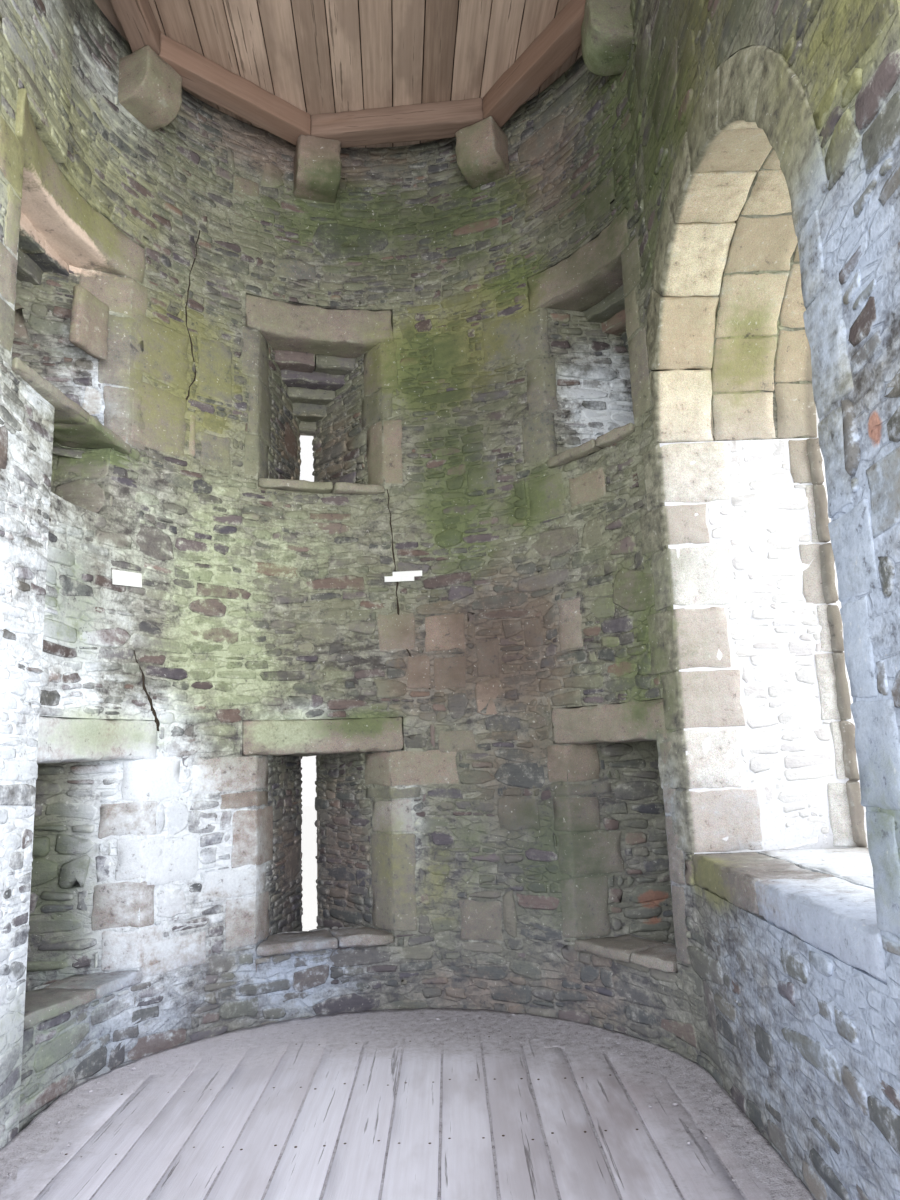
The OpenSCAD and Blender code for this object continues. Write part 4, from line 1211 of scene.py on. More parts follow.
class Masonry:
    """The stone pieces of the tower and the holes that they leave in the rubble of each face."""

    def __init__(self, looks):
        self.looks = looks
        self.holes = {"left": [], "round": [], "outside": []}
        self.cheek_holes = {}

    def leave(self, face, ends, foot, head):
        """Keeps a face's rubble out of a rectangle."""
        self.holes[face].append((*sorted(ends), foot, head))

    def jambs(self):
        """Quoins at both sides of every loop, and blocks set in the wall by themselves."""
        pile = Pile()
        rng = np.random.default_rng(11)
        for loop in LOOPS:
            for side in (-1, 1):
                hidden = side < 0 and loop.name == "lower_left"
                rise = loop.head - loop.sill
                stones = JAMBS.get((loop.name, side))
                if stones is None:
                    ranges = ((0.12, 0.3), (0.15, 0.3), (0.1, 0.6))
                    stones = [(h1 - h0, *(rng.uniform(*ends) for ends in ranges))
                              for h0, h1 in parts(0, rise, 0.2, 0.36, rng)]
                share = rise / sum(stone[0] for stone in stones)
                place, start = quoin_place(loop, side)
                on_round = start > -QUARTER
                u = ROOM_R * (start + QUARTER) if on_round else left_corner_u(loop)
                foot = loop.sill
                depths = []
                for height, width, depth, tone in stones:
                    head = foot + height * share
                    width = HIDDEN_JAMB if hidden else width
                    low = (-DRESSED_PROUD, -DRESSED_PROUD, foot + HALF_JOINT)
                    high = (width, depth, head - HALF_JOINT)
                    block(pile, place, low, high, tone, rng.random(), radius=0.016, rough=0.004,
                          seed=int(foot * 90) + 7)
                    self.leave("round" if on_round else "left", (u, u + side * width), foot, head)
                    depths.append((depth, foot, head))
                    foot = head
                self.cheek_holes[loop.name, side] = depths
        for degrees, above, width, height, tone, hue in WALL_BLOCKS:
            u = round_u(degrees)
            foot, head = FLOOR + above, FLOOR + above + height
            low = (u + HALF_JOINT, -DRESSED_PROUD, foot + HALF_JOINT)
            high = (u + width - HALF_JOINT, 0.05, head - HALF_JOINT)
            block(pile, stone_place(round_inside), low, high, tone, hue, radius=0.018, rough=0.004,
                  seed=int(u * 99))
            self.leave("round", (u, u + width), foot, head)
        pile.build("jamb_stones", self.looks["granite"])

    def lintels(self, level):
        """Lintels that follow the round face, with worn lower edges."""
        pile = Pile()
        replaced = []
        for number, loop in enumerate(loops_at(level)):
            out, right = across(math.radians(loop.angle))
            reach = loop.width / 2 + LINTEL_SEAT

            def place(a, b, c):
                radial = np.sqrt(ROOM_R**2 - np.clip(a, -1.2, 1.2) ** 2) + b
                return plain(right[0] * a + out[0] * radial, right[1] * a + out[1] * radial, c)

            top = loop.head + loop.lintel_h
            low, high = (-reach, -DRESSED_PROUD, loop.head), (reach, LINTEL_D - 0.02, top)
            block(pile, place, low, high, LINTEL_TONES[loop.name], 0.7, radius=0.022, rough=0.006,
                  seed=31 + number)
            self.leave("round", round_span(loop.angle, reach), loop.head, top)
            if loop.name == "upper_left":
                self.leave("left", (left_corner_u(loop) - LINTEL_SEAT, FAR_OUT), loop.head, top)
            side = loop.name.removeprefix(f"{level}_")
            replaced.append(f"{side}_{level}_lintel")
        pile.build(f"{level}_lintels", self.looks["granite"], replaced)

    def sills(self):
        """Pairs of slabs on the sills, with broken noses, and the slopes behind them."""
        pile, slopes = Pile(), Pile()
        for number, loop in enumerate(LOOPS):
            place = radial_place(math.radians(loop.angle))
            start = face_of(loop.width) - SILL_NOSE
            half, split = loop.width / 2, loop.width * 0.08

            def narrowed(spots):
                spots = spots.copy()
                spots[:, 0] *= half_width(loop, spots[:, 1]) / half
                return spots

            for k, (a0, a1) in enumerate(((-half, split), (split + 0.008, half))):
                low = (a0 + 0.002, start, loop.sill - SILL_T)
                high = (a1 - 0.002, start + SILL_D + SILL_NOSE, loop.sill)
                tone = 0.26 + 0.16 * k + 0.08 * (number % 3)
                block(pile, place, low, high, tone, radius=0.014, rough=0.006, seed=50 + 2 * number + k,
                      shape=narrowed)
            self.leave("round", round_span(loop.angle, half), loop.sill - SILL_T, loop.head)
            if loop.name == "upper_left":
                self.leave("left", (left_corner_u(loop), FAR_OUT), loop.sill - SILL_T, loop.head)
            back = face_of(loop.width) + SILL_D
            run = OUTER_R - THROAT - back

            def slope(a, b, c):
                radial = back + c
                fall = np.clip(c / run, 0, 1) * loop.fall
                return place(a * half_width(loop, radial) / half, radial, loop.sill - fall + b)

            extent = (-half, half, 0.0, run + THROAT)
            rubble([slopes], slope, extent, tall=0.09, seed=400 + number, largest=0.3)
        slopes.build("sill_slopes", self.looks["rubble"])
        replaced = ["lower_sill_slabs", "upper_sill_slabs"]
        pile.build("sill_slabs", self.looks["slab"], replaced)

    def soffits(self):
        """Thin covering slabs behind each lintel, stepping down in the upper loops."""
        pile, level = Pile(), Pile()
        rng = np.random.default_rng(5)
        for loop in LOOPS:
            place = radial_place(math.radians(loop.angle))
            start = face_of(loop.width) + LINTEL_D
            run = (OUTER_R - start) / SOFFIT_STEPS
            drop = loop.drop / SOFFIT_STEPS
            target = pile if loop.drop else level
            for step in range(SOFFIT_STEPS):
                near, far = start + run * step, start + run * (step + 1)
                bottom = loop.head - drop * (step + 1)
                half = min(float(half_width(loop, near)) + 0.03, loop.width / 2)
                for a0, a1 in parts(-half, half, 0.25, 0.6, rng):
                    front = near + rng.uniform(-0.012, 0.012)
                    low = (a0 + HALF_JOINT, front, bottom + rng.uniform(-0.008, 0.008))
                    top = bottom + max(drop, 0.03) + 0.02
                    high = (a1 - HALF_JOINT, min(far + 0.05, OUTER_R - 0.01), top)
                    block(target, place, low, high, rng.random(), rng.random(), 0.0, rough=0.007,
                          seed=int(rng.integers(999)))
        pile.build("soffit_slabs", self.looks["rubble"], ["upper_soffit_slabs"])
        level.build("lower_soffit_slabs", self.looks["rubble"])

    def window(self):
        """Arch stones, jamb stones, sill stones and sill flags of the tall window."""
        ring, jambs, sill = Pile(), Pile(), Pile()
        rng = np.random.default_rng(21)

        def arch_place(a, b, c):
            turn = a / WINDOW_R
            y = WINDOW_MID + (WINDOW_R + c) * np.cos(turn)
            z = SPRING + (WINDOW_R + c) * np.sin(turn)
            return outer_bent(b, y, z)

        for near, far, thick, least, most, tone in ARCH_RINGS:
            for number, (a0, a1) in enumerate(parts(0, math.pi * WINDOW_R, least, most, rng)):
                low, high = (a0 + HALF_JOINT, near, -DRESSED_PROUD), (a1 - HALF_JOINT, far, thick)
                shade = tone + rng.uniform(-0.14, 0.2)
                block(ring, arch_place, low, high, shade, rng.random(), rough=0.004, seed=70 + number)
        ring.build("arch_stones", self.looks["window"], ["window_arch_ring"])
        for end, way in ((WINDOW_FAR, 1), (WINDOW_NEAR, -1)):
            for inside in (True, False):
                for number, (z0, z1) in enumerate(parts(WINDOW_SILL, SPRING, 0.24, 0.36, rng)):
                    self.window_jamb(jambs, end, way, inside, number, z0, z1, rng)
        jambs.build("window_jamb_stones", self.looks["window"])
        split = WINDOW_NEAR + (WINDOW_FAR - WINDOW_NEAR) * WINDOW_SILL_SPLIT
        halves = ((WINDOW_NEAR, split - 0.008, 0.62, 0.2), (split, WINDOW_FAR, 0.22, 0.6))
        for number, (y0, y1, tone, hue) in enumerate(halves):
            low = (RIGHT_FACE - DRESSED_PROUD, y0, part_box("window_sill")[0].z)
            high = (SILL_STONE_X, y1, WINDOW_SILL)
            block(sill, plain, low, high, tone, hue, radius=0.02, rough=0.004, seed=90 + number)
        sill.build("window_sill_stones", self.looks["granite"], ["window_sill"])
        flags = Pile()
        for y0, y1 in parts(WINDOW_NEAR, WINDOW_FAR, 0.35, 0.6, rng):
            low = (SILL_STONE_X + 0.004, y0 + HALF_JOINT, WINDOW_SILL - 0.03)
            high = (OUTER_R + 0.004, y1 - HALF_JOINT, WINDOW_SILL + 0.004)
            tone, hue = rng.uniform(0.6, 0.9), rng.random()
            block(flags, outer_bent, low, high, tone, hue, radius=0.01, rough=0.004, seed=int(y0 * 70) + 500)
        flags.build("window_sill_flags", self.looks["window"])
        self.leave("round", (flank_u(WINDOW_FAR), flank_u(WINDOW_NEAR)), WINDOW_SILL - 0.15, SPRING)
        self.leave("outside", (WINDOW_NEAR - FRONT, WINDOW_FAR - FRONT), WINDOW_SILL, SPRING)

    def window_jamb(self, pile, end, way, inside, number, z0, z1, rng):
        """One quoin of the window, on the room side or at the outer edge, where a narrow nib stands in."""
        face_w = 0.24 if number % 2 else 0.16
        depth = rng.uniform(0.24, 0.30) if number % 2 else rng.uniform(0.34, 0.42)
        tone = rng.uniform(0.5, 1.0)
        x0, x1 = RIGHT_FACE - DRESSED_PROUD, RIGHT_FACE + depth
        bend = inner_bent if way > 0 else plain
        if not inside:
            x0, x1 = OUTER_R - depth * 0.5, OUTER_R + DRESSED_PROUD
            bend = outer_bent
            nib = sorted((end - way * NIB_OUT, end + way * 0.05))
            low = (OUTER_R - NIB_D, nib[0], z0 + 0.002)
            high = (OUTER_R + DRESSED_PROUD * 0.5, nib[1], z1 - 0.002)
            block(pile, bend, low, high, 0.1, rng.random(), radius=0.02, rough=0.008,
                  seed=int(z0 * 40) + number)
        span = sorted((end - way * DRESSED_PROUD, end + way * face_w))
        low, high = (x0, span[0], z0 + HALF_JOINT), (x1, span[1], z1 - HALF_JOINT)
        block(pile, bend, low, high, tone, rng.random(), rough=0.004, seed=int(z0 * 50) + number)
        holes = self.cheek_holes.setdefault(("reveal", way), [])
        if inside:
            self.leave("round", (flank_u(end), flank_u(end + way * face_w)), z0, z1)
            holes.append((-1, x1 - RIGHT_FACE, z0, z1))
        else:
            self.leave("outside", (end - FRONT, end - FRONT + way * face_w), z0, z1)
            holes.append((x0 - RIGHT_FACE, FAR_OUT, z0, z1))

    def corbels(self):
        """Corbels with a rounded lower edge, worn at their corners."""

        def rounded(nose):
            def shape(spots):
                spots = spots.copy()
                x = np.clip(1 - (spots[:, 1] - nose) / CORBEL_ROUND, 0, 1)
                y = np.clip(1 - (spots[:, 2] - CORBEL_LOW) / CORBEL_ROUND, 0, 1)
                spots[:, 1] += CORBEL_ROUND * (x - x * np.sqrt(1 - y**2 / 2))
                spots[:, 2] += CORBEL_ROUND * (y - y * np.sqrt(1 - x**2 / 2))
                return spots
            return shape

        half = CORBEL_W / 2
        for number, (name, (degrees, joint_in, tone)) in enumerate(RING_CORBELS.items()):
            pile = Pile()
            nose = ROOM_R - joint_in - BEAM_W - CORBEL_LEAD
            place = radial_place(math.radians(degrees))
            low, high = (-half, nose, CORBEL_LOW), (half, ROOM_R + CORBEL_TAIL, BEAM_Z)
            block(pile, place, low, high, tone, 1.0, radius=0.02, step=0.035, rough=0.004, seed=200 + number,
                  shape=rounded(nose))
            pile.build(name + "_stone", self.looks["granite"], [name])
            u = round_u(degrees)
            self.leave("round", (u - half, u + half), CORBEL_LOW, BEAM_Z)
        for name, (side, places, beam_x) in FLANK_CORBELS.items():
            pile = Pile()
            nose = beam_x - BEAM_W - CORBEL_LEAD
            tail = (RIGHT_FACE if side > 0 else -LEFT_FACE) + CORBEL_TAIL
            for number, y in enumerate(places):
                place = radial_place(side * QUARTER, (0.0, y))
                low, high = (-half, nose, CORBEL_LOW), (half, tail, BEAM_Z)
                block(pile, place, low, high, 0.34, 0.6, radius=0.02, step=0.035, rough=0.004,
                      seed=210 + number + side, shape=rounded(nose))
                if side < 0:
                    self.leave("left", (y - FRONT - half, y - FRONT + half), CORBEL_LOW, BEAM_Z)
                else:
                    self.leave("round", (flank_u(y + half), flank_u(y - half)), CORBEL_LOW, BEAM_Z)
            pile.build(name[:-1] + "_stones", self.looks["granite"], [name])

    def recess(self):
        """Walls and floor of the recess under the upper left loop."""
        loop = LOOP["upper_left"]
        sides = (RECESS_LEFT, RECESS_RIGHT)
        out, right = across(math.radians(loop.angle))
        corners = [out * math.sqrt(ROOM_R**2 - side**2) + right * side for side in sides]
        backs = [out * RECESS_BACK + right * side for side in sides]
        pile = Pile()
        for number, line in enumerate(([corners[0], backs[0]], backs, [backs[1], corners[1]])):
            face = Face(line)
            extent = (0, face.length, RECESS_FLOOR, RECESS_TOP)
            rubble([pile], face, extent, tall=0.13, seed=420 + number, largest=0.6)
        place = radial_place(math.radians(loop.angle))

        def lying(a, b, c):
            return place(a, c, RECESS_FLOOR + b)

        extent = (*sides, face_of(loop.width) + 0.10, RECESS_BACK)
        rubble([pile], lying, extent, tall=0.12, seed=424, largest=0.6)
        pile.build("recess_stones", self.looks["rubble"])
        ends = [round_u(math.degrees(math.radians(loop.angle) + math.asin(side / ROOM_R))) for side in sides]
        self.leave("round", ends, RECESS_FLOOR, RECESS_TOP)


def hidden_share(spots):
    """How much of the round face's rubble mortar hides: more on the right flank."""
    flank = np.clip((spots[:, 0] - flank_u(0.6)) / 0.4, 0, 1)
    return 0.18 + 0.34 * flank + 0.2 * waves(spots, 0.5, 77)


def round_size(spots):
    """The size of the round face's stones: large low down and on the right flank, small under the beams."""
    flank = np.clip((spots[:, 0] - flank_u(0.5)) / 0.4, 0, 1)
    above = spots[:, 1] - FLOOR
    return np.interp(above, [0.0, 1.0, 2.9, 3.8, 6.0], [1.35, 1.3, 1.2, 0.95, 0.95]) + 0.55 * flank


def shadow_cracks(lines, look):
    """Dark strips that close the open cracks at their backs."""
    pile = Pile()
    for line in lines:
        rings = []
        for side, out in ((-1, -0.002), (-1, 0.002), (1, 0.002), (1, -0.002)):
            rings.append(round_inside(line[:, 0] + side * line[:, 2], out, line[:, 1]))
        points = np.stack(rings, 1).reshape(-1, 3)
        base = 4 * np.arange(len(line) - 1)[:, None]
        quads = [np.concatenate([base + k, base + 4 + k, base + 4 + (k + 1) % 4, base + (k + 1) % 4], 1)
                 for k in range(4)]
        ends = [np.array([[0, 1, 2, 3]]), np.array([[0, 3, 2, 1]]) + 4 * (len(line) - 1)]
        pile.add(points, quads + ends, points)
    pile.build("crack_shadows", look)


def lay_inside(masonry):
    """Rubble of the room's faces, cut by the open cracks."""
    stone = masonry.looks["rubble"]
    pile = Pile()
    extent = (0, left_inside.length, FLOOR, BEAM_TOP)
    rubble([pile], left_inside, extent, masonry.holes["left"], 0.075, 0.005, seed=101, largest=0.2,
           bare=hidden_share)
    pile.build("rubble_left_flank", stone)
    circle = ((flank_u(WINDOW_MID), SPRING), WINDOW_R + RING_W)
    levels = [Pile() for _ in range(4)]
    lines = crack_lines()
    extent = (0, round_inside.length, FLOOR, BEAM_TOP)
    rubble(levels, round_inside, extent, masonry.holes["round"], 0.072, 0.006, seed=110, circle=circle,
           largest=0.16, cracks=lines, bare=hidden_share, grow=round_size)
    for pile, name in zip(levels, ("foot", "middle", "upper", "top")):
        pile.build(f"rubble_round_{name}", stone)
    shadow_cracks(lines, masonry.looks["crack"])


def lay_loops(masonry):
    """Rubble of the loops' cheeks and of the window's reveals."""
    stone = masonry.looks["rubble"]
    for level in ("lower", "upper"):
        pile = Pile()
        for number, loop in enumerate(loops_at(level)):
            for side in (-1, 1):
                face = cheek(loop, side)
                holes = []
                for depth, z0, z1 in masonry.cheek_holes[loop.name, side]:
                    span = (-1, depth) if side < 0 else (face.length - depth, face.length + 1)
                    holes.append((*span, z0, z1))
                extent = (0, face.length, loop.sill - loop.fall, loop.head)
                cut = CHEEKS.get((loop.name, side), EVEN_CHEEK)
                rubble([pile], face, extent, holes, *cut, seed=300 + 7 * number + side)
        pile.build(f"{level}_loop_cheeks", stone)
    pile, pointing = Pile(), Pile()
    near_holes = [(near_reveal.length - b, near_reveal.length - a, z0, z1)
                  for a, b, z0, z1 in masonry.cheek_holes["reveal", -1]]
    faces = ((far_reveal, masonry.cheek_holes["reveal", 1], 330), (near_reveal, near_holes, 331))
    for face, holes, seed in faces:
        extent = (0, face.length, WINDOW_SILL, SPRING)
        rubble([pile], face, extent, holes, 0.085, 0.003, 0.003, seed=seed, largest=0.3)
        low, high = (0.01, -0.0025, WINDOW_SILL), (face.length - 0.01, 0.01, SPRING)
        block(pointing, stone_place(face), low, high, 0.8, radius=0.001, step=0.2, rough=0.0)
    pile.build("window_reveals", masonry.looks["reveal"])
    pointing.build("window_reveal_pointing", masonry.looks["pointing"])


def surround_slits(masonry, rng):
    """Dressed stones round the outer ends of the slits."""
    pile = Pile()
    place = stone_place(outside)

    def stone(u0, u1, z0, z1, joint):
        low, high = (u0, -DRESSED_PROUD, z0 + joint), (u1, THIN_STONE, z1 - joint)
        block(pile, place, low, high, rng.uniform(0.3, 0.7), rng.random(), seed=int(rng.integers(999)))
        masonry.leave("outside", (u0, u1), z0, z1)

    for loop in LOOPS:
        u = outside_u(loop.angle)
        foot, head = loop.sill - loop.fall, loop.head - loop.drop
        for side in (-1, 1):
            for z0, z1 in parts(foot, head, 0.24, 0.34, rng):
                width = rng.choice([0.16, 0.26])
                span = sorted((u + side * SLIT_W / 2, u + side * (SLIT_W / 2 + width)))
                stone(*span, z0, z1, HALF_JOINT)
        for z0, z1, reach in ((head, head + 0.20, 0.30), (foot - 0.12, foot, 0.26)):
            stone(u - reach, u + reach, z0, z1, 0.002)
        masonry.leave("outside", (u - SLIT_W / 2, u + SLIT_W / 2), foot, head)
    pile.build("slit_surrounds", masonry.looks["granite"])


def cap_walls(masonry, rng):
    """Flags on the wall head, in two rows, round the end and along both flanks."""
    pile = Pile()
    seat = BOARD_SEAT + EDGE_GAP + 0.01

    def ring_place(a, b, c):
        bearing = a / OUTER_R
        return plain(b * np.sin(bearing), b * np.cos(bearing), c)

    def flag(place, a0, a1, b0, b1):
        low, high = (a0, b0, TOP - 0.04), (a1, b1, TOP + 0.003)
        block(pile, place, low, high, rng.uniform(0.1, 0.5), rng.random(), step=0.1, rough=0.004,
              seed=int(rng.integers(999)))

    for r0, r1 in ((ROOM_R + seat, FLAG_SPLIT), (FLAG_SPLIT, OUTER_R)):
        for a0, a1 in parts(-QUARTER * OUTER_R, QUARTER * OUTER_R, 0.35, 0.6, rng):
            flag(ring_place, a0 + 0.005, a1 - 0.005, r0 + 0.004, r1 - 0.004)
    for side, face in ((-1, -LEFT_FACE), (1, RIGHT_FACE)):
        for x0, x1 in ((face + seat, FLAG_SPLIT), (FLAG_SPLIT, OUTER_R)):
            for y0, y1 in parts(FRONT, 0, 0.35, 0.6, rng):
                flag(plain, *sorted((side * (x0 + 0.004), side * (x1 - 0.004))), y0 + 0.005, y1 - 0.005)
    pile.build("wall_head_flags", masonry.looks["granite"])


def lay_outside(masonry):
    """Coarser rubble outside, with dressed surrounds for the slits, plain party faces and capping flags."""
    stone = masonry.looks["rubble"]
    rng = np.random.default_rng(61)
    surround_slits(masonry, rng)
    circle = ((WINDOW_MID - FRONT, SPRING), WINDOW_R + RING_W)
    levels = [Pile() for _ in range(2)]
    rubble(levels, outside, (0, outside.length, 0.0, TOP), masonry.holes["outside"], 0.125, 0.006, 0.006,
           seed=120, circle=circle, largest=0.3)
    for pile, name in zip(levels, ("low", "high")):
        pile.build(f"rubble_outside_{name}", stone)
    pile = Pile()
    for number, face in enumerate((left_front, right_front)):
        extent = (0, face.length, 0.0, TOP)
        rubble([pile], face, extent, (), 0.11, 0.005, 0.006, seed=140 + number, largest=0.3)
    pile.build("rubble_party_faces", stone)
    cap_walls(masonry, rng)


Boarding = namedtuple("Boarding", "name z_low z_high pitch gap joint turn grow fill_low fill_high")
CEILING = Boarding("ceiling_boards", BEAM_TOP, TOP, CEILING_PITCH, CEILING_GAP, 0.0, CEILING_TURN,
                   BOARD_SEAT, BEAM_TOP + 0.02, TOP - 0.005)
FLOORING = Boarding("floor_boards", SLEEPER_TOP, FLOOR, FLOOR_PITCH, FLOOR_GAP, FLOOR_JOINT, 0.0,
                    -EDGE_GAP, FLOOR - 0.030, FLOOR - 0.006)
# Length of a board before it is cut to the walls
RAW_BOARD = 4
# Rows of points from the edge of the dirt to the wall
DIRT_ROWS = 12


def board_reach(boarding, x):
    """The ends of a line along the boards, at a sideways place in their own frame."""
    turn = boarding.turn
    low = FRONT / math.cos(turn) - x * math.tan(turn)
    high = math.sqrt(max((ROOM_R + boarding.grow) ** 2 - x**2, 0))
    if turn:
        low = max(low, (x * math.cos(turn) - RIGHT_FACE - boarding.grow) / math.sin(turn))
        high = min(high, (x * math.cos(turn) - LEFT_FACE + boarding.grow) / math.sin(turn))
    elif not LEFT_FACE - boarding.grow < x < RIGHT_FACE + boarding.grow:
        high = low
    return low, high


def lay_boards(boarding, look, filler):
    """Boards over the room's plan, and laths or dirt in their gaps; the laths' dark colour paints the shade
    in the gaps.
    """
    turn, pitch, gap = boarding.turn, boarding.pitch, boarding.gap
    rng = np.random.default_rng(int(pitch * 1000))
    boards, strips = Pile(), Pile()
    xs = np.linspace(-ROOM_R - 0.1, ROOM_R + 0.1, 3000)
    lows, highs = np.array([board_reach(boarding, x) for x in xs]).T
    usable = xs[highs - lows > 0.05]

    def place(a, b, c):
        x = b * math.cos(turn) - a * math.sin(turn)
        y = b * math.sin(turn) + a * math.cos(turn)
        return plain(x, y, c)

    def shape(spots):
        """Runs each line of a board from wall to wall."""
        spots = spots.copy()
        low, high = np.array([board_reach(boarding, x) for x in spots[:, 1]]).T
        spots[:, 0] = low + (high - low) * spots[:, 0] / RAW_BOARD
        return spots

    def strip(pile, x0, x1, z0, z1, seed, tone, radius, rough):
        block(pile, place, (0, x0, z0), (RAW_BOARD, x1, z1), tone, rng.random(), radius=radius,
              step=(0.16, 0.07, 0.05), rough=rough, seed=seed, shape=shape)

    count = int(2 * ROOM_R / pitch)
    for i in range(-count, count + 1):
        x0 = boarding.joint + gap / 2 + i * pitch
        x1 = x0 + pitch - gap
        start, end = max(x0, usable[0]), min(x1, usable[-1])
        if end - start < 0.02:
            continue
        top = boarding.z_high + rng.uniform(-0.0015, 0.0015)
        strip(boards, start, end, boarding.z_low, top, 600 + i, rng.random(), 0.004, 0.0012)
        if x1 + gap < usable[-1]:
            start, end = x1 - 0.002, x1 + gap + 0.002
            strip(strips, start, end, boarding.fill_low, boarding.fill_high, 700 + i, 0.1, 0.002, 0.001)
    boards.build(boarding.name + "_laid", look, [boarding.name])
    strips.build(boarding.name + "_gap_fill", filler)


def inner_corners(line):
    """Corners of the beams' inner faces from those of their outer faces."""
    out = []
    for i, corner in enumerate(line):
        sides = []
        for j in (max(i, 1), min(i + 1, len(line) - 1)):
            way = (line[j] - line[j - 1]) / np.linalg.norm(line[j] - line[j - 1])
            sides.append(np.array([way[1], -way[0]]))
        out.append(corner + BEAM_W * (sides[0] + sides[1]) / (1 + sides[0] @ sides[1]))
    return out


def lay_beams(look):
    """Beams round the room under the boards, mitred at their joints."""
    line = [np.array([-LEFT_BEAM_X, FRONT]), np.array([-LEFT_BEAM_X, LEFT_TURN_Y])]
    line += [polar(ROOM_R - joint_in, math.radians(degrees)) for degrees, joint_in in JOINTS]
    line += [np.array([RIGHT_BEAM_X, RIGHT_TURN_Y]), np.array([RIGHT_BEAM_X, FRONT])]
    inner = inner_corners(line)
    front = [np.array([inner[end][0], y]) for y in (FRONT, FRONT + BEAM_W) for end in (0, -1)]
    runs = [(line[i], line[i + 1], inner[i], inner[i + 1]) for i in range(len(line) - 1)] + [front]
    names = ["beam_left_flank", "beam_left_short", "beam_left_diagonal", "beam_far", "beam_right_diagonal",
             "beam_right_flank", "beam_front"]
    for number, (name, (a0, a1, b0, b1)) in enumerate(zip(names, runs)):
        length = np.linalg.norm(a1 - a0)

        def place(a, b, c):
            along, side = (a / length)[:, None], (b / BEAM_W)[:, None]
            plan = (1 - side) * ((1 - along) * a0 + along * a1) + side * ((1 - along) * b0 + along * b1)
            return np.concatenate([plan, c[:, None]], 1)

        pile = Pile()
        rng = np.random.default_rng(80 + number)
        low, high = (0.002, 0, BEAM_Z), (length - 0.002, BEAM_W, BEAM_TOP)
        block(pile, place, low, high, rng.uniform(0.4, 0.9), rng.random(), radius=0.009,
              step=(0.09, 0.04, 0.04), rough=0.0025, seed=220 + number)
        pile.build(name + "_timber", look, [name])


def disc(pile, centre, radius, height, sides=10):
    """A low round nail head."""
    turn = np.linspace(0, 2 * math.pi, sides, endpoint=False)
    rings = [np.stack([centre[0] + r * np.cos(turn), centre[1] + r * np.sin(turn), z + 0 * turn], -1)
             for r, z in ((radius, centre[2] - 0.004), (radius, centre[2] + height * 0.4),
                          (radius * 0.6, centre[2] + height))]
    points = np.concatenate(rings)
    step = np.arange(sides)
    after = (step + 1) % sides
    faces = [np.stack([step + k, after + k, after + k + sides, step + k + sides], -1) for k in (0, sides)]
    faces += [step[None, ::-1], (step + 2 * sides)[None, :]]
    pile.add(points, faces, points)


def lay_nails(look):
    """Pairs of nail heads where the floor boards cross the sleepers."""
    pile = Pile()
    rng = np.random.default_rng(88)
    boards = int(ROOM_R / FLOOR_PITCH) + 1
    for i in range(-boards, boards):
        middle = FLOOR_JOINT + (i + 0.5) * FLOOR_PITCH
        for row in range(SLEEPERS):
            y = FRONT + SLEEPER_PITCH * row + SLEEPER_W / 2
            for side in (-1, 1):
                x = middle + side * rng.uniform(0.055, 0.075)
                spot = (x, y + rng.uniform(-0.03, 0.03), FLOOR)
                low, high = board_reach(FLOORING, x)
                if low + 0.02 < spot[1] < high - 0.05:
                    disc(pile, spot, 0.006, 0.0015)
    pile.build("floor_nails", look)


def lay_dirt(look, stone):
    """Dirt along the foot of the walls, wide at the round end, with small stones on it."""
    bend = arc(ROOM_R, math.asin(LEFT_FACE / ROOM_R), KINK)
    room = Face([(LEFT_FACE, FRONT), *bend, (RIGHT_FACE, FRONT)])
    along = np.linspace(0.3, room.length - 0.3, 220)
    shares = np.linspace(0, 1, DIRT_ROWS)
    edge = room(along, 0, 0)
    degrees = np.degrees(np.arctan2(edge[:, 0], edge[:, 1]))
    degrees = np.where(edge[:, 1] < -1.0, np.sign(edge[:, 0]) * 150, degrees)
    round_end = 0.22 * np.exp(-((np.abs(degrees) / 125) ** 6))
    wide = 0.05 + round_end + 0.46 * np.exp(-(((degrees - 2) / 42) ** 2))
    wide = wide * (1 + 0.18 * waves(np.stack([along, 0 * along], -1), 0.3, 91))
    out = wide[:, None] * (1 - shares[None, :]) + 0.004
    spots = room(np.repeat(along, DIRT_ROWS), out.ravel(), FLOOR)
    flat = spots[:, :2]
    lumps = waves(flat, 0.16, 92) + 0.6 * waves(flat, 0.05, 93)
    rise = np.tile(shares, len(along))
    spots[:, 2] += -0.003 + 0.020 * rise**1.3 + 0.0035 * lumps
    under = spots.copy()
    under[:, 2] = FLOOR - 0.02
    index = np.arange(len(spots)).reshape(len(along), DIRT_ROWS)
    ring = np.concatenate([index[0, :-1], index[:-1, -1], index[-1, :0:-1], index[:0:-1, 0]])
    after = np.roll(ring, -1)
    sides = np.stack([ring, after, after + len(spots), ring + len(spots)], -1)
    points = np.concatenate([spots, under])
    top = grid_quads(index)
    pile = Pile()
    pile.add(points, [top, top[:, ::-1] + len(spots), sides], points)
    pile.build("floor_dirt", look)
    scatter_pebbles(room, stone)


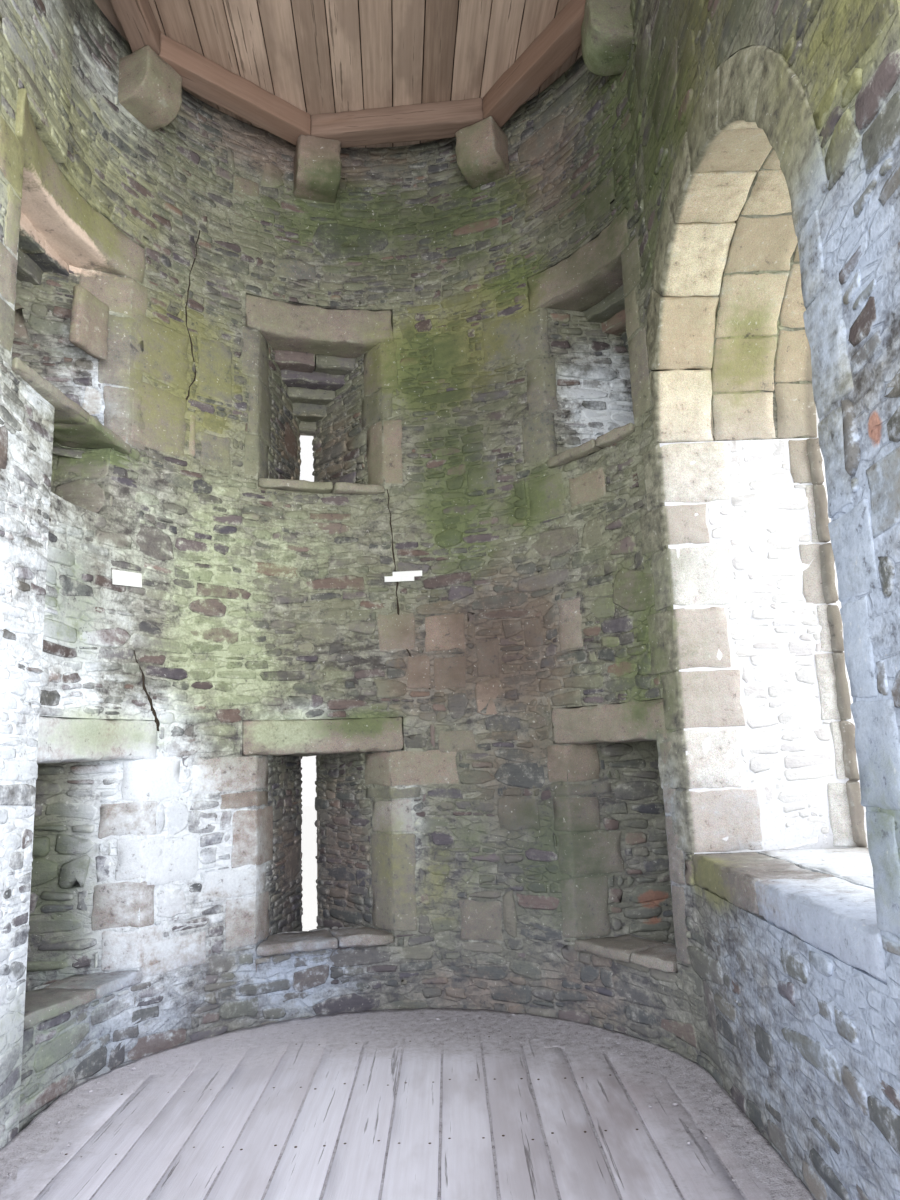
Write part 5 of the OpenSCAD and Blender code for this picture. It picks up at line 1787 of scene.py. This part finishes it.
def scatter_pebbles(room, stone):
    """Small stones on the dirt, most of them close to the wall."""
    pile = Pile()
    rng = np.random.default_rng(95)
    for _ in range(90):
        size = 0.004 + 0.009 * rng.random() ** 2
        reach = size * 1.6 + abs(rng.normal(0, 0.14))
        x, y = room(np.array([rng.uniform(0.9, room.length - 0.9)]), reach, 0.0)[0, :2]
        spin = rng.uniform(0, 3.14)

        def place(a, b, c):
            right = a * math.cos(spin) - b * math.sin(spin)
            away = a * math.sin(spin) + b * math.cos(spin)
            return plain(x + right, y + away, FLOOR + 0.010 + size * 0.3 + c)

        high = np.array([size, size * 0.7, size * 0.5])
        block(pile, place, -high, high, rng.uniform(0.2, 0.8), rng.random(), radius=size * 0.45, step=0.05,
              rough=size * 0.08, seed=int(rng.integers(999)))
    pile.build("floor_pebbles", stone)


# Bearing, height above the floor, width, height, thickness and tilt in degrees
GAUGES = (
    (-63.7, 2.68, 0.22, 0.085, 0.003, 4),
    (2.6, 2.815, 0.21, 0.04, 0.003, 0),
    (4.6, 2.845, 0.21, 0.04, 0.005, 0),
)


def fix_gauges(look):
    """Bare gauges over two of the cracks: a plate, and two strips that overlap."""
    pile = Pile()
    for degrees, above, wide, tall, thick, tilt in GAUGES:
        u, z, turn = round_u(degrees), FLOOR + above, math.radians(tilt)

        def place(a, b, c):
            along = u + a * math.cos(turn) - c * math.sin(turn)
            return round_inside(along, -b, z + a * math.sin(turn) + c * math.cos(turn))

        low, high = (-wide / 2, -0.018 - thick, -tall / 2), (wide / 2, -0.012, tall / 2)
        block(pile, place, low, high, 0.5, radius=0.002, step=0.2, rough=0.0)
    pile.build("crack_gauges", look)


def turned(first, second, angle):
    """Two upright vectors turned in their plane, the first one towards the second."""
    return (math.cos(angle) * first + math.sin(angle) * second,
            math.cos(angle) * second - math.sin(angle) * first)


def place_camera():
    """The photograph's view: focal length in its pixels, place in the room and three turns."""
    focal, long_side, sensor = 850.0, 1200.0, 36.0
    eye = Vector((0.37, -4.15 + MID_Y, FLOOR + 1.6))
    yaw, pitch, roll = (math.radians(value) for value in (0.5, 10.3, 2.1))
    ahead = Vector((math.sin(yaw), math.cos(yaw), 0))
    right = Vector((math.cos(yaw), -math.sin(yaw), 0))
    ahead, up = turned(ahead, Vector((0, 0, 1)), pitch)
    up, right = turned(up, right, roll)
    camera = bpy.data.objects.new("camera", bpy.data.cameras.new("camera"))
    bpy.context.scene.collection.objects.link(camera)
    camera.data.sensor_width = sensor
    camera.data.lens = focal / long_side * sensor
    turn = Matrix((right, up, -ahead)).transposed()
    camera.matrix_world = Matrix.Translation(eye) @ turn.to_4x4()
    bpy.context.scene.camera = camera


def add_lamp(name, place, aim, size, power, spread=180):
    """A soft rectangular lamp that the camera doesn't see."""
    data = bpy.data.lights.new(name, "AREA")
    data.shape = "RECTANGLE"
    data.size, data.size_y = size
    data.energy = power
    data.spread = math.radians(spread)
    lamp = bpy.data.objects.new(name, data)
    lamp.location = place
    lamp.rotation_euler = (Vector(aim) - Vector(place)).to_track_quat("-Z", "Y").to_euler()
    lamp.visible_camera = False
    bpy.context.scene.collection.objects.link(lamp)


def seen_share(tree):
    """1 for the rays that show the background to the camera, directly, in gloss or through glass."""
    path = add_node(tree, "ShaderNodeLightPath")
    kinds = ("Camera", "Glossy", "Transmission")
    camera, gloss, glass = (Value(tree, path.outputs[f"Is {kind} Ray"]) for kind in kinds)
    return camera.math("MAXIMUM", gloss).math("MAXIMUM", glass)


def light_and_stage():
    """Plain soft light, a white background and a pale floor."""
    world = bpy.data.worlds.new("studio")
    bpy.context.scene.world = world
    world.use_nodes = True
    tree = world.node_tree
    ambient = 0.75
    background = tree.nodes["Background"].inputs
    plug(tree, background["Strength"], seen_share(tree) * (1 - ambient) + ambient)
    background["Color"].default_value = (1, 1, 1, 1)
    add_lamp("window_light", (5.6, MID_Y - 0.9, 3.6), (0, MID_Y + 0.2, 1.6), (3.0, 4.0), 370)
    add_lamp("front_fill", (0.2, -8.0, 4.2), (0, 0.6, 3.4), (5.0, 5.0), 350)
    for side in (-1, 1):
        aim = (1.6 * side, -0.9, 3.0 - 0.6 * side)
        add_lamp("side_fill", (-1.2 * side, -4.8, 2.6), aim, (1.5, 3.0), 50 - 22 * side, 75)
    bpy.ops.mesh.primitive_plane_add(size=60, location=(0, 0, -0.002))
    ground = bpy.context.object
    ground.name = "pale_floor"
    pale = make_plain("pale_floor", (243, 242, 240), 0.9, 0.03)
    shader = pale.node_tree.nodes["Principled BSDF"]
    plug(pale.node_tree, shader.inputs["Emission Color"], seen_share(pale.node_tree))
    shader.inputs["Emission Strength"].default_value = 0.28
    ground.data.materials.append(pale)


# Every material by a short name: its slot, its maker and the maker's values
LOOKS = {
    "rubble": ("rubble_masonry", make_rubble_stone, "rubble_stone"),
    # The reveal's stones are paled by painted window glare.
    "reveal": ("rubble_masonry", make_rubble_stone, "reveal_stone", 0.55),
    "mortar": ("rubble_masonry", make_mortar),
    "pointing": ("rubble_masonry", make_plain, "reveal_pointing", (214, 216, 222), 0.95, 0.5),
    "crack": ("rubble_masonry", make_plain, "crack_shadow", (52, 45, 38), 0.95),
    "granite": ("dressed_granite", make_dressed_granite, "dressed_stone"),
    "slab": ("dressed_granite", make_dressed_granite, "slab_stone"),
    "window": ("dressed_granite", make_dressed_granite, "window_stone", True),
    "gauge": ("dressed_granite", make_plain, "gauge_white", (224, 226, 224), 0.5),
    "beam": ("oak", make_timber, "beam_oak", (156, 134, 121), (98, 79, 68), (116, 84, 64), 0.4),
    "ceiling": ("oak", make_timber, "ceiling_oak", (210, 187, 170), (136, 115, 100), (108, 90, 78), 0.45),
    # Dark laths in the ceiling's gaps: painted shade of the gaps between the boards.
    "lath": ("oak", make_plain, "lath", (60, 50, 42), 0.9),
    "sleeper": ("weathered_boards", make_timber, "sleeper_oak", (150, 120, 96), (96, 74, 58), (80, 60, 48),
                0.4),
    "floor": ("weathered_boards", make_timber, "floor_oak", (234, 235, 250), (206, 204, 217),
              (184, 180, 189), 0.5, True),
    "dirt": ("weathered_boards", make_dirt, "floor_dirt"),
    "gap_dirt": ("weathered_boards", make_dirt, "gap_dirt"),
    "nail": ("weathered_boards", make_plain, "nail_iron", (78, 64, 56), 0.7),
}
# The finishes of the CAD nodes by a word in their names; the others are masonry
NODE_FINISHES = {"beam": "beam", "ceiling": "ceiling", "floor": "sleeper", "corbel": "granite"}


def make_looks():
    """The materials with their slots; the pebbles have the dirt's material among the stones."""
    looks = {name: (maker(*values), slot) for name, (slot, maker, *values) in LOOKS.items()}
    looks["pebble"] = (looks["gap_dirt"][0], "rubble_masonry")
    return looks


def finish_nodes(looks):
    """Gives each CAD node the finish of what it is."""
    for name, node in nodes.items():
        kinds = [finish for kind, finish in NODE_FINISHES.items() if kind in name]
        material, _ = looks[kinds[0] if kinds else "mortar"]
        node.data.materials.clear()
        node.data.materials.append(material)


def main():
    """Dresses the tower."""
    looks = make_looks()
    finish_nodes(looks)
    masonry = Masonry(looks)
    masonry.jambs()
    masonry.lintels("lower")
    masonry.lintels("upper")
    masonry.sills()
    masonry.soffits()
    masonry.window()
    masonry.corbels()
    masonry.recess()
    lay_inside(masonry)
    lay_loops(masonry)
    lay_outside(masonry)
    lay_beams(looks["beam"])
    lay_boards(CEILING, looks["ceiling"], looks["lath"])
    lay_boards(FLOORING, looks["floor"], looks["gap_dirt"])
    lay_nails(looks["nail"])
    lay_dirt(looks["dirt"], looks["pebble"])
    fix_gauges(looks["gauge"])
    place_camera()
    light_and_stage()
    bpy.context.scene.view_settings.view_transform = "Standard"


main()
